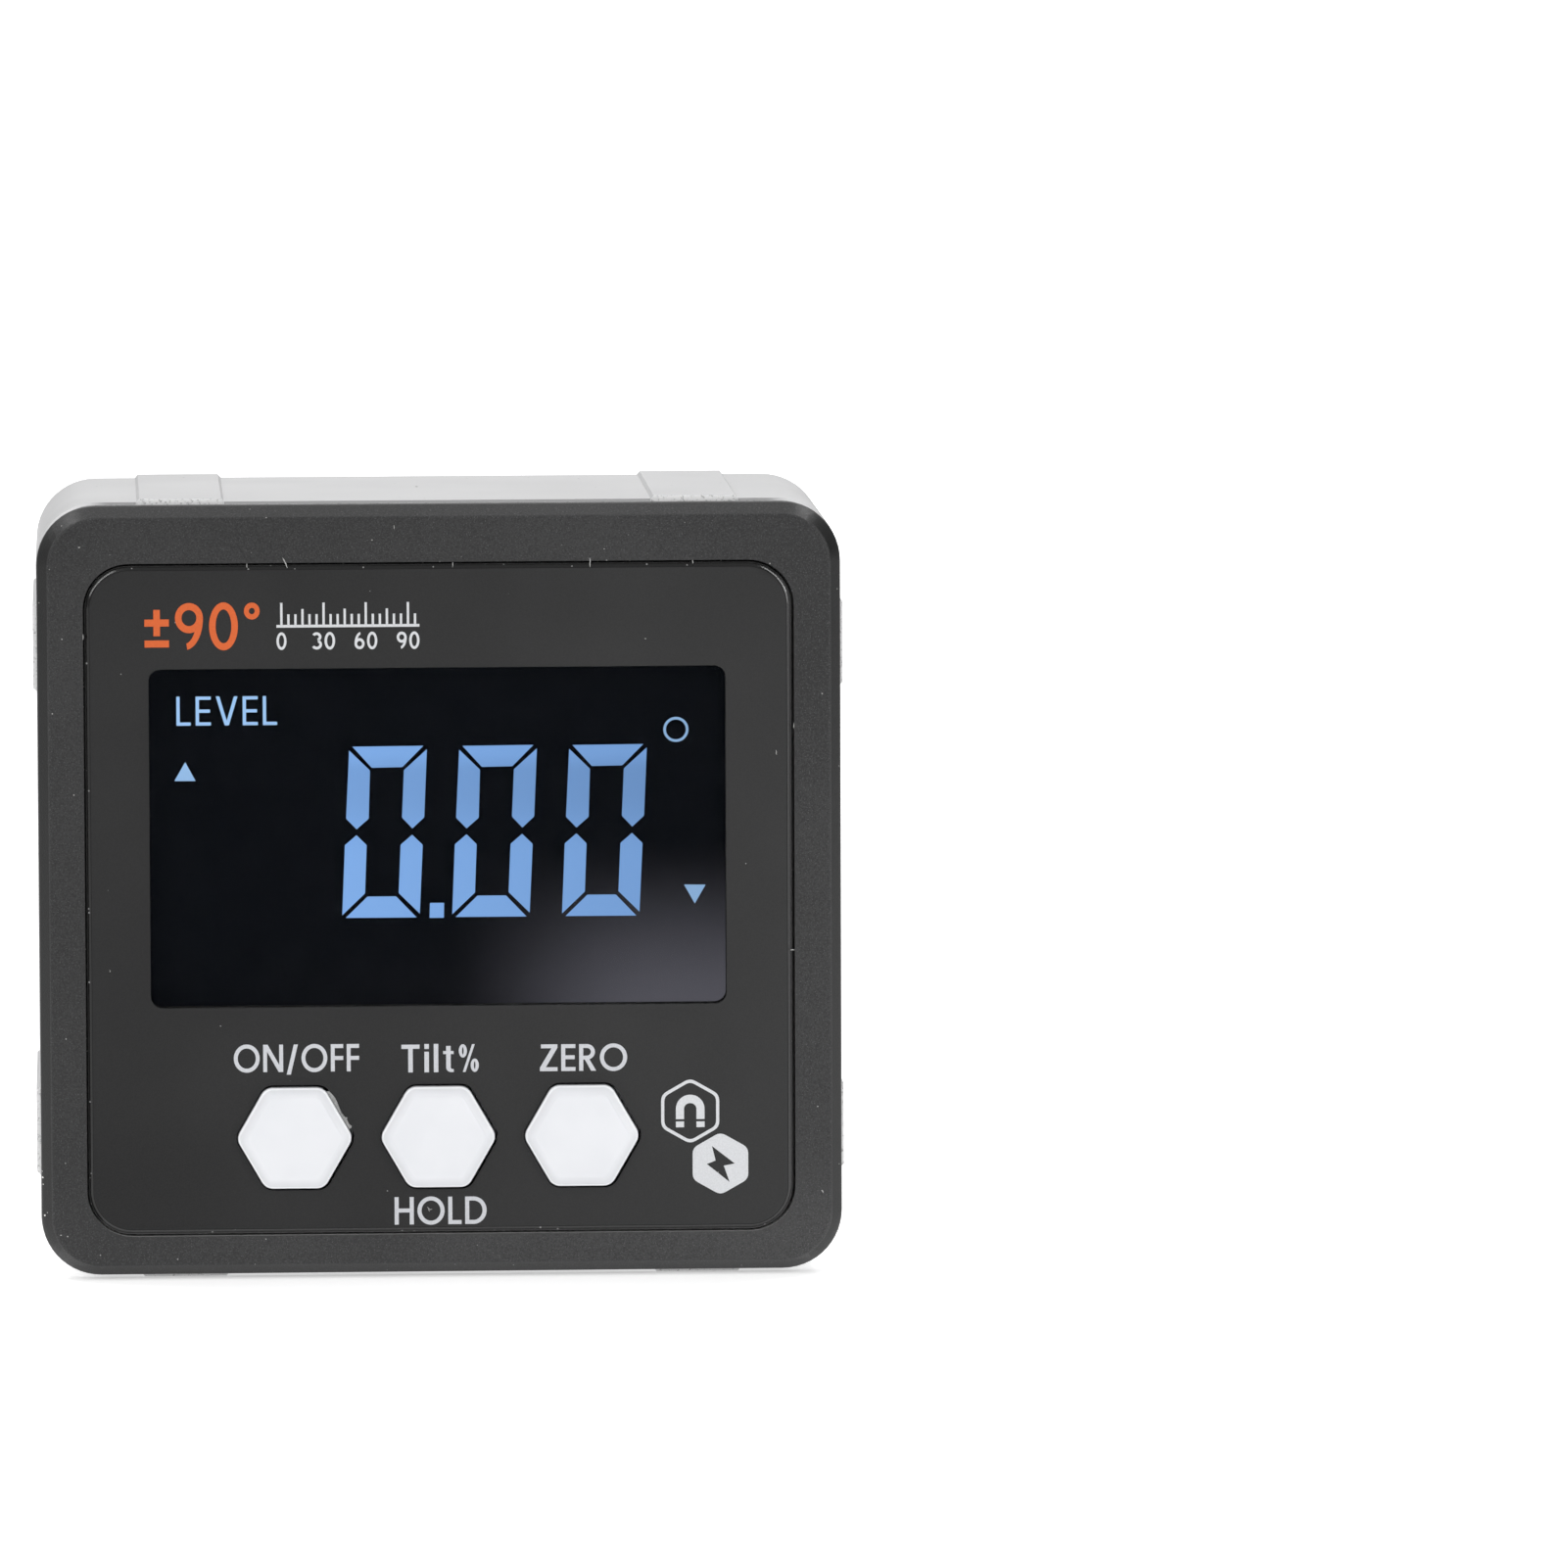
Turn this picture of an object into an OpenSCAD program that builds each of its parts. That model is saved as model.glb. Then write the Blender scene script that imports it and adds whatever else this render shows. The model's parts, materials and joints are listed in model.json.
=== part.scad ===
// Box-type digital angle gauge: aluminium ring frame with raised contact pads,
// moulded front bezel with a clear display panel and three hexagonal keys,
// sealed rear cover with a charging inlet under a rubber flap.
//
// +X right, +Y towards the back, +Z up. The base pads rest on z = 0,
// and x = 0, y = 0 is the middle of the overall box.

/* [Body] */
// Width of the bezel and frame, without the pads
body_w = 58; // [56:0.5:64]
// Height of the bezel and frame, without the pads
body_h = 56; // [55:0.5:62]
// Depth from the bezel's front face to the rear face
body_d = 28.2; // [28:0.1:32]
// Outer corner radius
corner_r = 4.4; // [3.6:0.1:5]
// Thickness of the frame's wall
wall = 2.4; // [2.2:0.1:2.6]
// Sideways offset of the bezel on the frame
bezel_dx = 0.05; // [-0.05:0.01:0.05]
// How far the middle of the bezel sits below the middle of the frame
bezel_drop = 0.1; // [0:0.01:0.15]

/* [Contact pads] */
// Height of the raised pads on the four sides
pad_h = 0.25; // [0.2:0.05:0.6]
// Width of each pad at its foot
pad_w = 6.3; // [5.6:0.1:7]
// How far the two ends of a pad slope in
pad_slope = 0.2; // [0.1:0.05:0.4]
// Distance from a body edge to the middle of a pad
pad_in = 10.45; // [10:0.05:12]

/* [Front panel] */
// Width of the recess in the bezel
recess_w = 51.26; // [51:0.02:51.6]
// Height of the recess in the bezel
recess_h = 48.8; // [48.6:0.02:49.2]
// How far the recess sits below the middle of the bezel
recess_drop = 0.7; // [0:0.02:0.8]
// Width of the clear panel
panel_w = 50.96; // [50.2:0.02:51]
// Height of the clear panel
panel_h = 48.5; // [47.9:0.02:48.6]
// Sideways offset of the panel in its recess
panel_dx = -0.04; // [-0.1:0.01:0.1]
// Offset of the panel below the middle of the recess
panel_dz = 0; // [0:0.01:0.1]
// Thickness of the clear panel
panel_t = 1.6; // [1.4:0.05:1.6]

/* [Keys] */
// Distance across the flats of a key cap
key_flats = 7.35; // [7:0.05:7.4]
// Distance between neighbouring keys
key_pitch = 10.38; // [10.3:0.02:11]
// Height of the keys' row above the body's lower edge
key_row = 10.0; // [9.5:0.1:10.5]
// How far the caps stand out of the bezel's face
key_proud = 0.6; // [0.4:0.05:0.9]
// Sideways offset of the panel's key holes from the caps
key_hole_dx = 0.06; // [-0.08:0.01:0.08]

/* [Display] */
// Width of the visible window
win_w = 41.54; // [40:0.02:42]
// Height of the visible window
win_h = 24.5; // [24:0.05:24.6]
// Height of the window's middle above the body's lower edge
win_row = 31.8; // [31.6:0.05:32.2]

/* [Magnets] */
// Diameter of a base magnet
magnet_d = 5; // [4:0.1:5.2]
// Distance between the two magnets of one pad
magnet_gap = 14; // [12:0.5:16]

/* [Charging inlet] */
// Height of the flap's hinge bar above the body's lower edge
hinge_row = 14.65; // [14.4:0.05:15]
// Radius of the flap's hinge bar
hinge_r = 0.5; // [0.4:0.05:0.5]

/* [Hidden] */
$fn = 64;
eps = 0.05;

// depth of each layer, measured back from the bezel's front face
s_panel = 0.1;
s_tape = s_panel + panel_t;
s_floor = s_tape + 0.2;
s_frame = 2.0;
s_inner = 3.5;
s_lcd = s_inner + 0.4;
s_light = s_lcd + 2.2;
s_board = 9.0;
s_board_back = s_board + 1.6;
s_lug = 6.0;
s_rear = body_d - 2.0;
s_rib = s_rear - 1.1;

y0 = -(body_d - key_proud) / 2;
zb = pad_h;
zc = pad_h + body_h / 2;
key_z = zb + key_row;
key_x0 = -0.25;
win_x = -0.17;
win_z = zb + win_row;
recess_z = zc - recess_drop;
panel_z = recess_z - panel_dz;
in_w = body_w - 2 * wall;
in_h = body_h - 2 * wall;
lug_x = body_w / 2 - 5.0;
lug_z = body_h / 2 - 5.0;
inlet_z = zb + hinge_row - 4.8;
hinge_s = body_d - 0.8;
hinge_z = zb + hinge_row;
post_top = [17, zc + 21.2];
post_low = [19.5, zb + 14];
header_z = zb + 5.85;
board_posts = [[-post_top[0], post_top[1]], [post_top[0], post_top[1]],
               [-post_low[0], post_low[1]], [post_low[0], post_low[1]]];
lugs = [for (i = [-1, 1], k = [-1, 1]) [i * lug_x, zc + k * lug_z]];
charge_posts = [[-9, inlet_z], [9, inlet_z]];
// soft chamfer round the bezel: [inset from the edge, depth from the face]
bezel_edge = [[1.0, 0], [0.88, 0.018], [0.8, 0.07], [0.74, 0.15], [0.1, 1.06], [0.03, 1.18], [0, 1.3]];
// edge of the clear panel
panel_edge = [[0.36, 0], [0.33, 0.004], [0.3, 0.014], [0.1, 0.115], [0.05, 0.15], [0.015, 0.2], [0, 0.27]];
// crown of a key cap: flat middle, shallow bevel and rounded rim, as [inset from the side, depth from the top]
key_crown = [[0.72, 0], [0.66, 0.01], [0.6, 0.03], [0.16, 0.22], [0.11, 0.246], [0.065, 0.285], [0.03, 0.335], [0.008, 0.4]];
// how far the rear cover stays inside the frame's outline
rear_in = 0.3;
// edge of the rear cover, counted from the rear face
rear_edge = [[0.7, 0], [0.52, 0.04], [0.36, 0.14], [0.12, 0.46], [0.03, 0.62], [0, 0.78]];

// ---------- helpers ----------

// sweeps a front-view outline (x, z) from depth a to depth b
module deep(a, b) {
    translate([0, y0 + b, 0]) rotate([90, 0, 0]) linear_extrude(height = b - a) children();
}

// round bar along the depth
module bar(p, a, b, r) {
    translate([p[0], y0 + a, p[1]]) rotate([-90, 0, 0]) cylinder(h = b - a, r = r);
}

// upright box given by its middle in front view, its size and its depth span
module block(p, size, a, b) {
    translate([p[0] - size[0] / 2, y0 + a, p[1] - size[1] / 2]) cube([size[0], b - a, size[1]]);
}

module rrect(w, h, r) {
    square([w - 2 * r, h], center = true);
    square([w, h - 2 * r], center = true);
    for (i = [-1, 1], k = [-1, 1]) translate([i * (w / 2 - r), k * (h / 2 - r)]) circle(r = r);
}

module stadium(w, h) {
    square([w - h, h], center = true);
    for (i = [-1, 1]) translate([i * (w - h) / 2, 0]) circle(r = h / 2);
}

// hexagon with flats at top and bottom and rounded corners
module rhex(flats, r) {
    a = (flats / 2 - r) / cos(30);
    polygon([for (k = [0 : 5], j = [-3 : 3]) [a * cos(60 * k) + r * cos(60 * k + 10 * j), a * sin(60 * k) + r * sin(60 * k + 10 * j)]]);
}

// rounded plate from depth 0 to t with a profiled front edge, in front view about the origin
module edged_plate(w, h, r, t, edge) {
    n = len(edge);
    half = [for (e = edge) [w / 2 - e[0], e[1]]];
    tall = [for (e = edge) [e[1], h / 2 - e[0]]];
    // left-to-right slab
    translate([0, 0, -(h / 2 - r)]) linear_extrude(height = h - 2 * r)
        polygon(concat(half, [[w / 2, t], [-w / 2, t]], [for (i = [n - 1 : -1 : 0]) [-half[i][0], half[i][1]]]));
    // top-to-bottom slab
    translate([-(w / 2 - r), 0, 0]) rotate([90, 0, 90]) linear_extrude(height = w - 2 * r)
        polygon(concat(tall, [[t, h / 2], [t, -h / 2]], [for (i = [n - 1 : -1 : 0]) [tall[i][0], -tall[i][1]]]));
    // corners
    for (i = [-1, 1], k = [-1, 1]) translate([i * (w / 2 - r), 0, k * (h / 2 - r)]) rotate([-90, 0, 0])
        rotate_extrude() polygon(concat([[0, 0]], [for (e = edge) [r - e[0], e[1]]], [[r, t], [0, t]]));
}

function key_at(i) = [key_x0 + i * key_pitch, key_z];

// ---------- front ----------

module front_bezel() color([0.16, 0.16, 0.165]) difference() {
    union() {
        translate([bezel_dx, y0, zc - bezel_drop]) edged_plate(body_w, body_h - 2 * bezel_drop, corner_r - 0.1, s_frame, bezel_edge);
        // locating plug inside the frame
        translate([0, 0, zc]) deep(s_frame - eps, s_inner) rrect(in_w - 0.3, in_h - 0.3, 1.85);
        for (p = board_posts) bar(p, s_inner - eps, s_board, 2.2);
        for (p = lugs) bar(p, s_inner - eps, s_lug, 2.3);
    }
    translate([0, 0, recess_z]) deep(-1, s_floor) rrect(recess_w, recess_h, 3.3);
    translate([win_x, 0, win_z]) deep(s_floor - 1, s_inner + 1) rrect(win_w + 0.9, win_h + 0.9, 0.9);
    for (i = [-1, 0, 1]) translate([key_at(i)[0], 0, key_z]) deep(s_floor - 1, s_inner + 1) rhex(key_flats + 0.4, 1.1);
    for (p = board_posts) bar(p, 4.6, s_board + 1, 1.0);
    for (p = lugs) bar(p, 4.1, s_lug + 1, 1.05);
}

module front_panel() color([0.12, 0.12, 0.125]) difference() {
    translate([panel_dx, y0 + s_panel, panel_z]) edged_plate(panel_w, panel_h, 3.15, panel_t, panel_edge);
    for (i = [-1, 0, 1]) translate([key_at(i)[0] + key_hole_dx, 0, key_z]) deep(s_panel - 1, s_tape + 1) rhex(key_flats + 0.3, 1.05);
}

module panel_tape() color([0.05, 0.05, 0.05]) difference() {
    translate([panel_dx, 0, panel_z]) deep(s_tape, s_floor) rrect(panel_w - 0.5, panel_h - 0.5, 2.7);
    translate([win_x, 0, win_z]) deep(s_tape - 1, s_floor + 1) rrect(win_w + 1.2, win_h + 1.2, 1);
    for (i = [-1, 0, 1]) bar(key_at(i), s_tape - 1, s_floor + 1, 4.6);
}

// ---------- keys and switches ----------

module key_cap(i) color([0.93, 0.94, 0.96]) translate([key_at(i)[0], 0, key_z]) {
    hull() {
        for (e = key_crown) deep(-key_proud + e[1], -key_proud + e[1] + 0.002) rhex(key_flats - 2 * e[0], 0.95 - 0.6 * e[0]);
        deep(-key_proud + 0.47, s_lcd + eps) rhex(key_flats, 0.95);
    }
    translate([0, y0 + s_lcd, 0]) rotate([-90, 0, 0]) cylinder(h = 0.8, r = 4.95);
    translate([0, y0 + s_lcd + 0.75, 0]) rotate([-90, 0, 0]) cylinder(h = 0.65, r = 1.8);
}

module key_on_off() key_cap(-1);
module key_hold() key_cap(0);
module key_zero() key_cap(1);

module key_gaskets() color([0.2, 0.2, 0.2]) for (i = [-1, 0, 1]) difference() {
    bar(key_at(i), s_inner, s_lcd, 4.95);
    bar(key_at(i), s_inner - 1, s_lcd + 1, 4.4);
}

module switch_plunger(i) color([0.1, 0.1, 0.1]) bar(key_at(i), 5.3, 7.3, 1.7);
module switch_plunger_on_off() switch_plunger(-1);
module switch_plunger_hold() switch_plunger(0);
module switch_plunger_zero() switch_plunger(1);

module switch_bodies() color([0.15, 0.15, 0.16]) for (i = [-1, 0, 1]) difference() {
    block(key_at(i), [6, 6], 6.5, s_board);
    bar(key_at(i), 6, 8.2, 1.8);
}

module switch_domes() color([0.75, 0.75, 0.72]) for (i = [-1, 0, 1])
    translate([key_at(i)[0], y0 + 8.2, key_z]) rotate([90, 0, 0])
        rotate_extrude() polygon([[0, 0.3], [0.7, 0.24], [1.65, 0], [1.75, 0], [1.75, 0.08], [0.72, 0.34], [0, 0.4]]);

// ---------- display ----------

module lcd_gasket() color([0.06, 0.06, 0.06]) translate([win_x, 0, win_z]) difference() {
    deep(s_inner, s_lcd) rrect(win_w + 3.4, win_h + 3.4, 0.6);
    deep(s_inner - 1, s_lcd + 1) rrect(win_w + 0.9, win_h + 0.9, 0.9);
}

module lcd_glass() color([0.03, 0.03, 0.04]) block([win_x, win_z], [win_w + 3.9, win_h + 4.5], s_lcd, s_light);

module backlight_panel() color([0.9, 0.92, 0.95]) block([win_x, win_z], [win_w + 3.1, win_h + 3.5], s_light, s_board - 0.3);

module backlight_leds() color([0.95, 0.93, 0.8]) for (k = [-1, 0, 1])
    block([win_x - win_w / 2 - 2.6, win_z + k * 7], [1.4, 3.2], s_board - 2.4, s_board);

module lcd_pins() color([0.75, 0.75, 0.75]) for (i = [-5.5 : 1 : 5.5])
    block([win_x + i * 2.54, win_z - (win_h + 4.5) / 2 - 0.2], [0.5, 0.4], s_lcd + 1, s_board);

// ---------- main board ----------

module main_board() color([0.05, 0.25, 0.12]) difference() {
    block([0, zc], [50, 48], s_board, s_board_back);
    for (i = [-1, 1], k = [-1, 1]) block([i * 25, zc + k * 24], [10, 10], s_board - 1, s_board_back + 1);
    for (p = board_posts) bar(p, s_board - 1, s_board_back + 1, 1.15);
}

module microcontroller() color([0.07, 0.07, 0.07]) block([-7, zc + 3], [7, 7], s_board_back, s_board_back + 1.3);

module tilt_sensor() color([0.08, 0.08, 0.09]) block([6, zc], [3, 3], s_board_back, s_board_back + 1);

module board_capacitors() color([0.6, 0.5, 0.35]) for (i = [0 : 4])
    block([-4 + i * 4, zc + 10], [1.2, 2], s_board_back, s_board_back + 0.9);

module screw_head(p, a, b, r) difference() {
    bar(p, a, b, r);
    for (t = [0, 90]) translate([p[0], y0 + b, p[1]]) rotate([90, t, 0])
        translate([-r * 0.62, -0.17, -1]) cube([r * 1.24, 0.34, 1.8]);
}

module board_screws() color([0.7, 0.7, 0.72]) for (p = board_posts) {
    bar(p, 5.2, s_board_back + eps, 0.95);
    screw_head(p, s_board_back, s_board_back + 1.3, 1.9);
}

// ---------- frame ----------

module seal_ring(clear) difference() {
    rrect(body_w - 1.8 - 2 * clear, body_h - 1.8 - 2 * clear, corner_r - 0.9 - clear);
    rrect(body_w - 3.6 + 2 * clear, body_h - 3.6 + 2 * clear, corner_r - 1.8 + clear);
}

module front_seal() color([0.08, 0.08, 0.08]) translate([0, 0, zc]) deep(s_frame, s_frame + 0.6) seal_ring(0.04);

module rear_seal() color([0.08, 0.08, 0.08]) translate([0, 0, zc]) deep(s_rear - 0.6, s_rear) seal_ring(0.04);

// outline of two pads on opposite sides that are l apart, with sloped ends that run 0.05 mm into the wall
module pad_pair(l) {
    a = pad_w / 2 + pad_slope * 0.05 / pad_h;
    b = l / 2 - 0.05;
    c = pad_w / 2 - pad_slope;
    d = l / 2 + pad_h;
    polygon([[-a, -b], [-c, -d], [c, -d], [a, -b], [a, b], [c, d], [-c, d], [-a, b]]);
}

module pads() {
    for (i = [-1, 1]) {
        translate([i * (body_w / 2 - pad_in), 0, zc]) deep(s_frame, s_rear) pad_pair(body_h);
        translate([0, 0, zc + i * (body_h / 2 - pad_in)]) deep(s_frame, s_rear) rotate(90) pad_pair(body_w);
    }
}

module frame() color([0.82, 0.82, 0.83]) difference() {
    union() {
        difference() {
            union() {
                // two edged halves meet in the middle, so both ends of the ring have a small chamfer
                translate([0, y0 + s_frame, zc]) edged_plate(body_w, body_h, corner_r, (s_rear - s_frame) / 2, [[0.18, 0], [0, 0.18]]);
                translate([0, y0 + s_rear, zc]) mirror([0, 1, 0]) edged_plate(body_w, body_h, corner_r, (s_rear - s_frame) / 2, [[0.18, 0], [0, 0.18]]);
                pads();
            }
            translate([0, 0, zc]) deep(0, body_d) rrect(in_w, in_h, 2);
        }
        // screw columns in the corners
        for (p = lugs) bar(p, s_lug, s_rib - 0.1, 2.9);
    }
    for (p = lugs) bar(p, s_lug - 1, s_rear, 1.2);
    translate([0, 0, zc]) deep(s_frame - 1, s_frame + 0.6) seal_ring(0);
    translate([0, 0, zc]) deep(s_rear - 0.6, s_rear + 1) seal_ring(0);
    // pockets for the base magnets
    for (i = [-1, 1], k = [-1, 1]) translate([i * (body_w / 2 - pad_in), y0 + (s_frame + s_rear) / 2 + k * magnet_gap / 2, -1])
        cylinder(h = 1 + 2.2, r = magnet_d / 2 + 0.03);
}

module base_magnets() color([0.6, 0.6, 0.62]) for (i = [-1, 1], k = [-1, 1])
    translate([i * (body_w / 2 - pad_in), y0 + (s_frame + s_rear) / 2 + k * magnet_gap / 2, 0.1])
        cylinder(h = 2.1, r = magnet_d / 2);

// ---------- battery ----------

module battery_cell() color([0.7, 0.71, 0.74]) translate([0, 0, zb + 32.65]) deep(s_rear - 6.2, s_rear - 0.7) rrect(36, 24, 1.2);

module battery_tape() color([0.9, 0.9, 0.85]) translate([0, 0, zb + 32.65]) deep(s_rear - 0.7, s_rear) rrect(30, 18, 1);

module battery_lead(x) {
    top = zb + 32.65 + 12;
    s = s_rear - 3.5;
    translate([x, y0 + s, top]) cylinder(h = 4, r = 0.6);
    translate([x, y0 + s, top + 4]) sphere(r = 0.72);
    bar([x, top + 4], 15.1, s, 0.6);
}
module battery_lead_red() color([0.7, 0.05, 0.05]) battery_lead(1.4);
module battery_lead_black() color([0.05, 0.05, 0.05]) battery_lead(-1.4);

module battery_connector() color([0.93, 0.92, 0.88]) block([0, zb + 48.65], [6.4, 4.4], s_board_back, 15.1);

// ---------- charging inlet ----------

module header_block() color([0.06, 0.06, 0.06]) block([0, header_z], [10.4, 2.5], s_board_back, s_board_back + 2.5);

module header_pins() color([0.8, 0.7, 0.3]) for (i = [-1.5 : 1 : 1.5]) block([i * 2.54, header_z], [0.64, 0.64], s_board_back + 2.5, 18.4);

module charge_board() color([0.05, 0.25, 0.12]) difference() {
    block([0, inlet_z], [22, 11], 18.4, 19.6);
    for (p = charge_posts) bar(p, 18, 20, 0.95);
}

module charge_controller() color([0.07, 0.07, 0.07]) block([5.4, inlet_z + 2.5], [3, 3], 17.5, 18.4);

module charge_socket() color([0.75, 0.75, 0.76]) translate([0, 0, inlet_z]) difference() {
    deep(19.6, body_d - 1.3) stadium(8.94, 3.16);
    deep(19, body_d) stadium(8.34, 2.56);
}

module charge_tongue() color([0.07, 0.07, 0.07]) {
    translate([0, 0, inlet_z]) deep(19.6, 21) stadium(8.26, 2.48);
    block([0, inlet_z], [6.7, 0.7], 21 - eps, body_d - 2.8);
}

module charge_board_screws() color([0.7, 0.7, 0.72]) for (p = charge_posts) {
    bar(p, 18.4 - eps, 22.6, 0.78);
    translate([0, 2 * (y0 + 18.4), 0]) mirror([0, 1, 0]) screw_head(p, 18.4, 19.4, 1.5);
}

// ---------- rear ----------

module rear_cover() color([0.13, 0.13, 0.135]) difference() {
    union() {
        translate([0, y0 + body_d, zc]) mirror([0, 1, 0]) edged_plate(body_w - 2 * rear_in, body_h - 2 * rear_in, corner_r - rear_in, body_d - s_rear, rear_edge);
        // locating rib inside the frame
        translate([0, 0, zc]) difference() {
            deep(s_rib, s_rear + eps) rrect(in_w - 0.3, in_h - 0.3, 1.85);
            deep(s_rib - 1, s_rear) rrect(in_w - 2.7, in_h - 2.7, 1.2);
        }
        for (p = lugs) bar(p, s_rib, s_rear + eps, 2.3);
        for (p = charge_posts) bar(p, 19.6, s_rear + eps, 1.8);
    }
    for (p = lugs) {
        bar(p, s_rib - 1, body_d + 1, 1.2);
        bar(p, body_d - 1.5, body_d + 1, 2.2);
    }
    for (p = charge_posts) bar(p, 19, 23.2, 0.82);
    // pocket for the flap, hinge seats, finger scoop and the inlet itself
    translate([0, 0, hinge_z - 3.5]) deep(body_d - 1.3, body_d + 1) rrect(15, 8.8, 0.6);
    translate([-8.6, y0 + hinge_s, hinge_z]) rotate([0, 90, 0]) cylinder(h = 17.2, r = hinge_r + 0.05);
    translate([0, 0, hinge_z - 8]) deep(body_d - 0.9, body_d + 1) stadium(7, 2.6);
    translate([0, 0, inlet_z]) deep(s_rear - 2, body_d) stadium(9.5, 3.8);
}

module port_plug() color([0.05, 0.05, 0.05]) {
    difference() {
        translate([0, 0, hinge_z - 3.8]) deep(body_d - 1.15, body_d - 0.15) rrect(14.4, 7.6, 1.0);
        // grip ridge
        for (k = [0, 1]) block([0, hinge_z - 6.5 + k * 0.7], [6, 0.3], body_d - 0.35, body_d);
    }
    translate([0, 0, inlet_z]) deep(body_d - 2.5, body_d - 1.15 + eps) stadium(8.0, 1.8);
    translate([-8.4, y0 + hinge_s, hinge_z]) rotate([0, 90, 0]) cylinder(h = 16.8, r = hinge_r);
}

module case_screws() color([0.55, 0.55, 0.57]) for (p = lugs) {
    bar(p, 4.4, body_d - 1.45, 1.0);
    screw_head(p, body_d - 1.5, body_d - 0.15, 1.95);
}

// ---------- nodes ----------

front_bezel();
front_panel();
panel_tape();
key_on_off();
key_hold();
key_zero();
key_gaskets();
switch_plunger_on_off();
switch_plunger_hold();
switch_plunger_zero();
switch_bodies();
switch_domes();
lcd_gasket();
lcd_glass();
backlight_panel();
backlight_leds();
lcd_pins();
main_board();
microcontroller();
tilt_sensor();
board_capacitors();
board_screws();
front_seal();
frame();
base_magnets();
rear_seal();
battery_cell();
battery_tape();
battery_lead_red();
battery_lead_black();
battery_connector();
header_block();
header_pins();
charge_board();
charge_controller();
charge_socket();
charge_tongue();
charge_board_screws();
rear_cover();
port_plug();
case_screws();
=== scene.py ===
import json
import math
import random

import bpy
import bmesh
from mathutils import Matrix, Vector


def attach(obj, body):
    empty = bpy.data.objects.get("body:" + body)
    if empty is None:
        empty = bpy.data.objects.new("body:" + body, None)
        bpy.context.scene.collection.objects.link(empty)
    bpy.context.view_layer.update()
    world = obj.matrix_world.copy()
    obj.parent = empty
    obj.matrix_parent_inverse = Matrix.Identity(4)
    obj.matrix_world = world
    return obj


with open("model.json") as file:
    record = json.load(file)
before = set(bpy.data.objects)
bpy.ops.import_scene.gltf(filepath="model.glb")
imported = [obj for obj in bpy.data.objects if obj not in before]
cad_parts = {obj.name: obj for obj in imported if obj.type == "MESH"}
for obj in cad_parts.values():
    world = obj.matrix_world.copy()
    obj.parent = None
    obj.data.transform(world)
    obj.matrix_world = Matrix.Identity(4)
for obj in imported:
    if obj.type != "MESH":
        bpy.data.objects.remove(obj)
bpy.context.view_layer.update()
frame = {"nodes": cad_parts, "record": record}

scene = bpy.context.scene
nodes = frame["nodes"]

MM = 0.001
FACE_Y = -13.8      # bezel's front face, mm
ZB = 0.25           # lower edge of the bezel, mm
PANEL_S = 0.1       # depth of the panel's front face behind the bezel's face, mm
LCD_S = 3.9         # depth of the display glass, mm
IMAGE = 1601.0

# ---------------------------------------------------------------- camera
CAM = Vector((-25.2295, -966.3937 + FACE_Y, 129.0016 + ZB))
PAN, TILT, ROLL, FOCAL = math.radians(2.96779), math.radians(5.52382), math.radians(-0.18337), 13738.75
fwd = Vector((math.sin(PAN) * math.cos(TILT), math.cos(PAN) * math.cos(TILT), -math.sin(TILT)))
right = Vector((math.cos(PAN), -math.sin(PAN), 0.0))
up = right.cross(fwd)
r2 = math.cos(ROLL) * right + math.sin(ROLL) * up
u2 = -math.sin(ROLL) * right + math.cos(ROLL) * up
cam_data = bpy.data.cameras.new("photo_camera")
cam_data.sensor_width = 36.0
cam_data.sensor_fit = "HORIZONTAL"
cam_data.lens = FOCAL * 36.0 / IMAGE
cam_data.clip_start, cam_data.clip_end = 0.01, 20.0
cam = bpy.data.objects.new("photo_camera", cam_data)
m = Matrix.Identity(4)
for i in range(3):
    m[i][0], m[i][1], m[i][2], m[i][3] = r2[i], u2[i], -fwd[i], CAM[i] * MM
cam.matrix_world = m
scene.collection.objects.link(cam)
scene.camera = cam
scene.view_settings.view_transform = "Standard"
scene.view_settings.look = "None"


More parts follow.
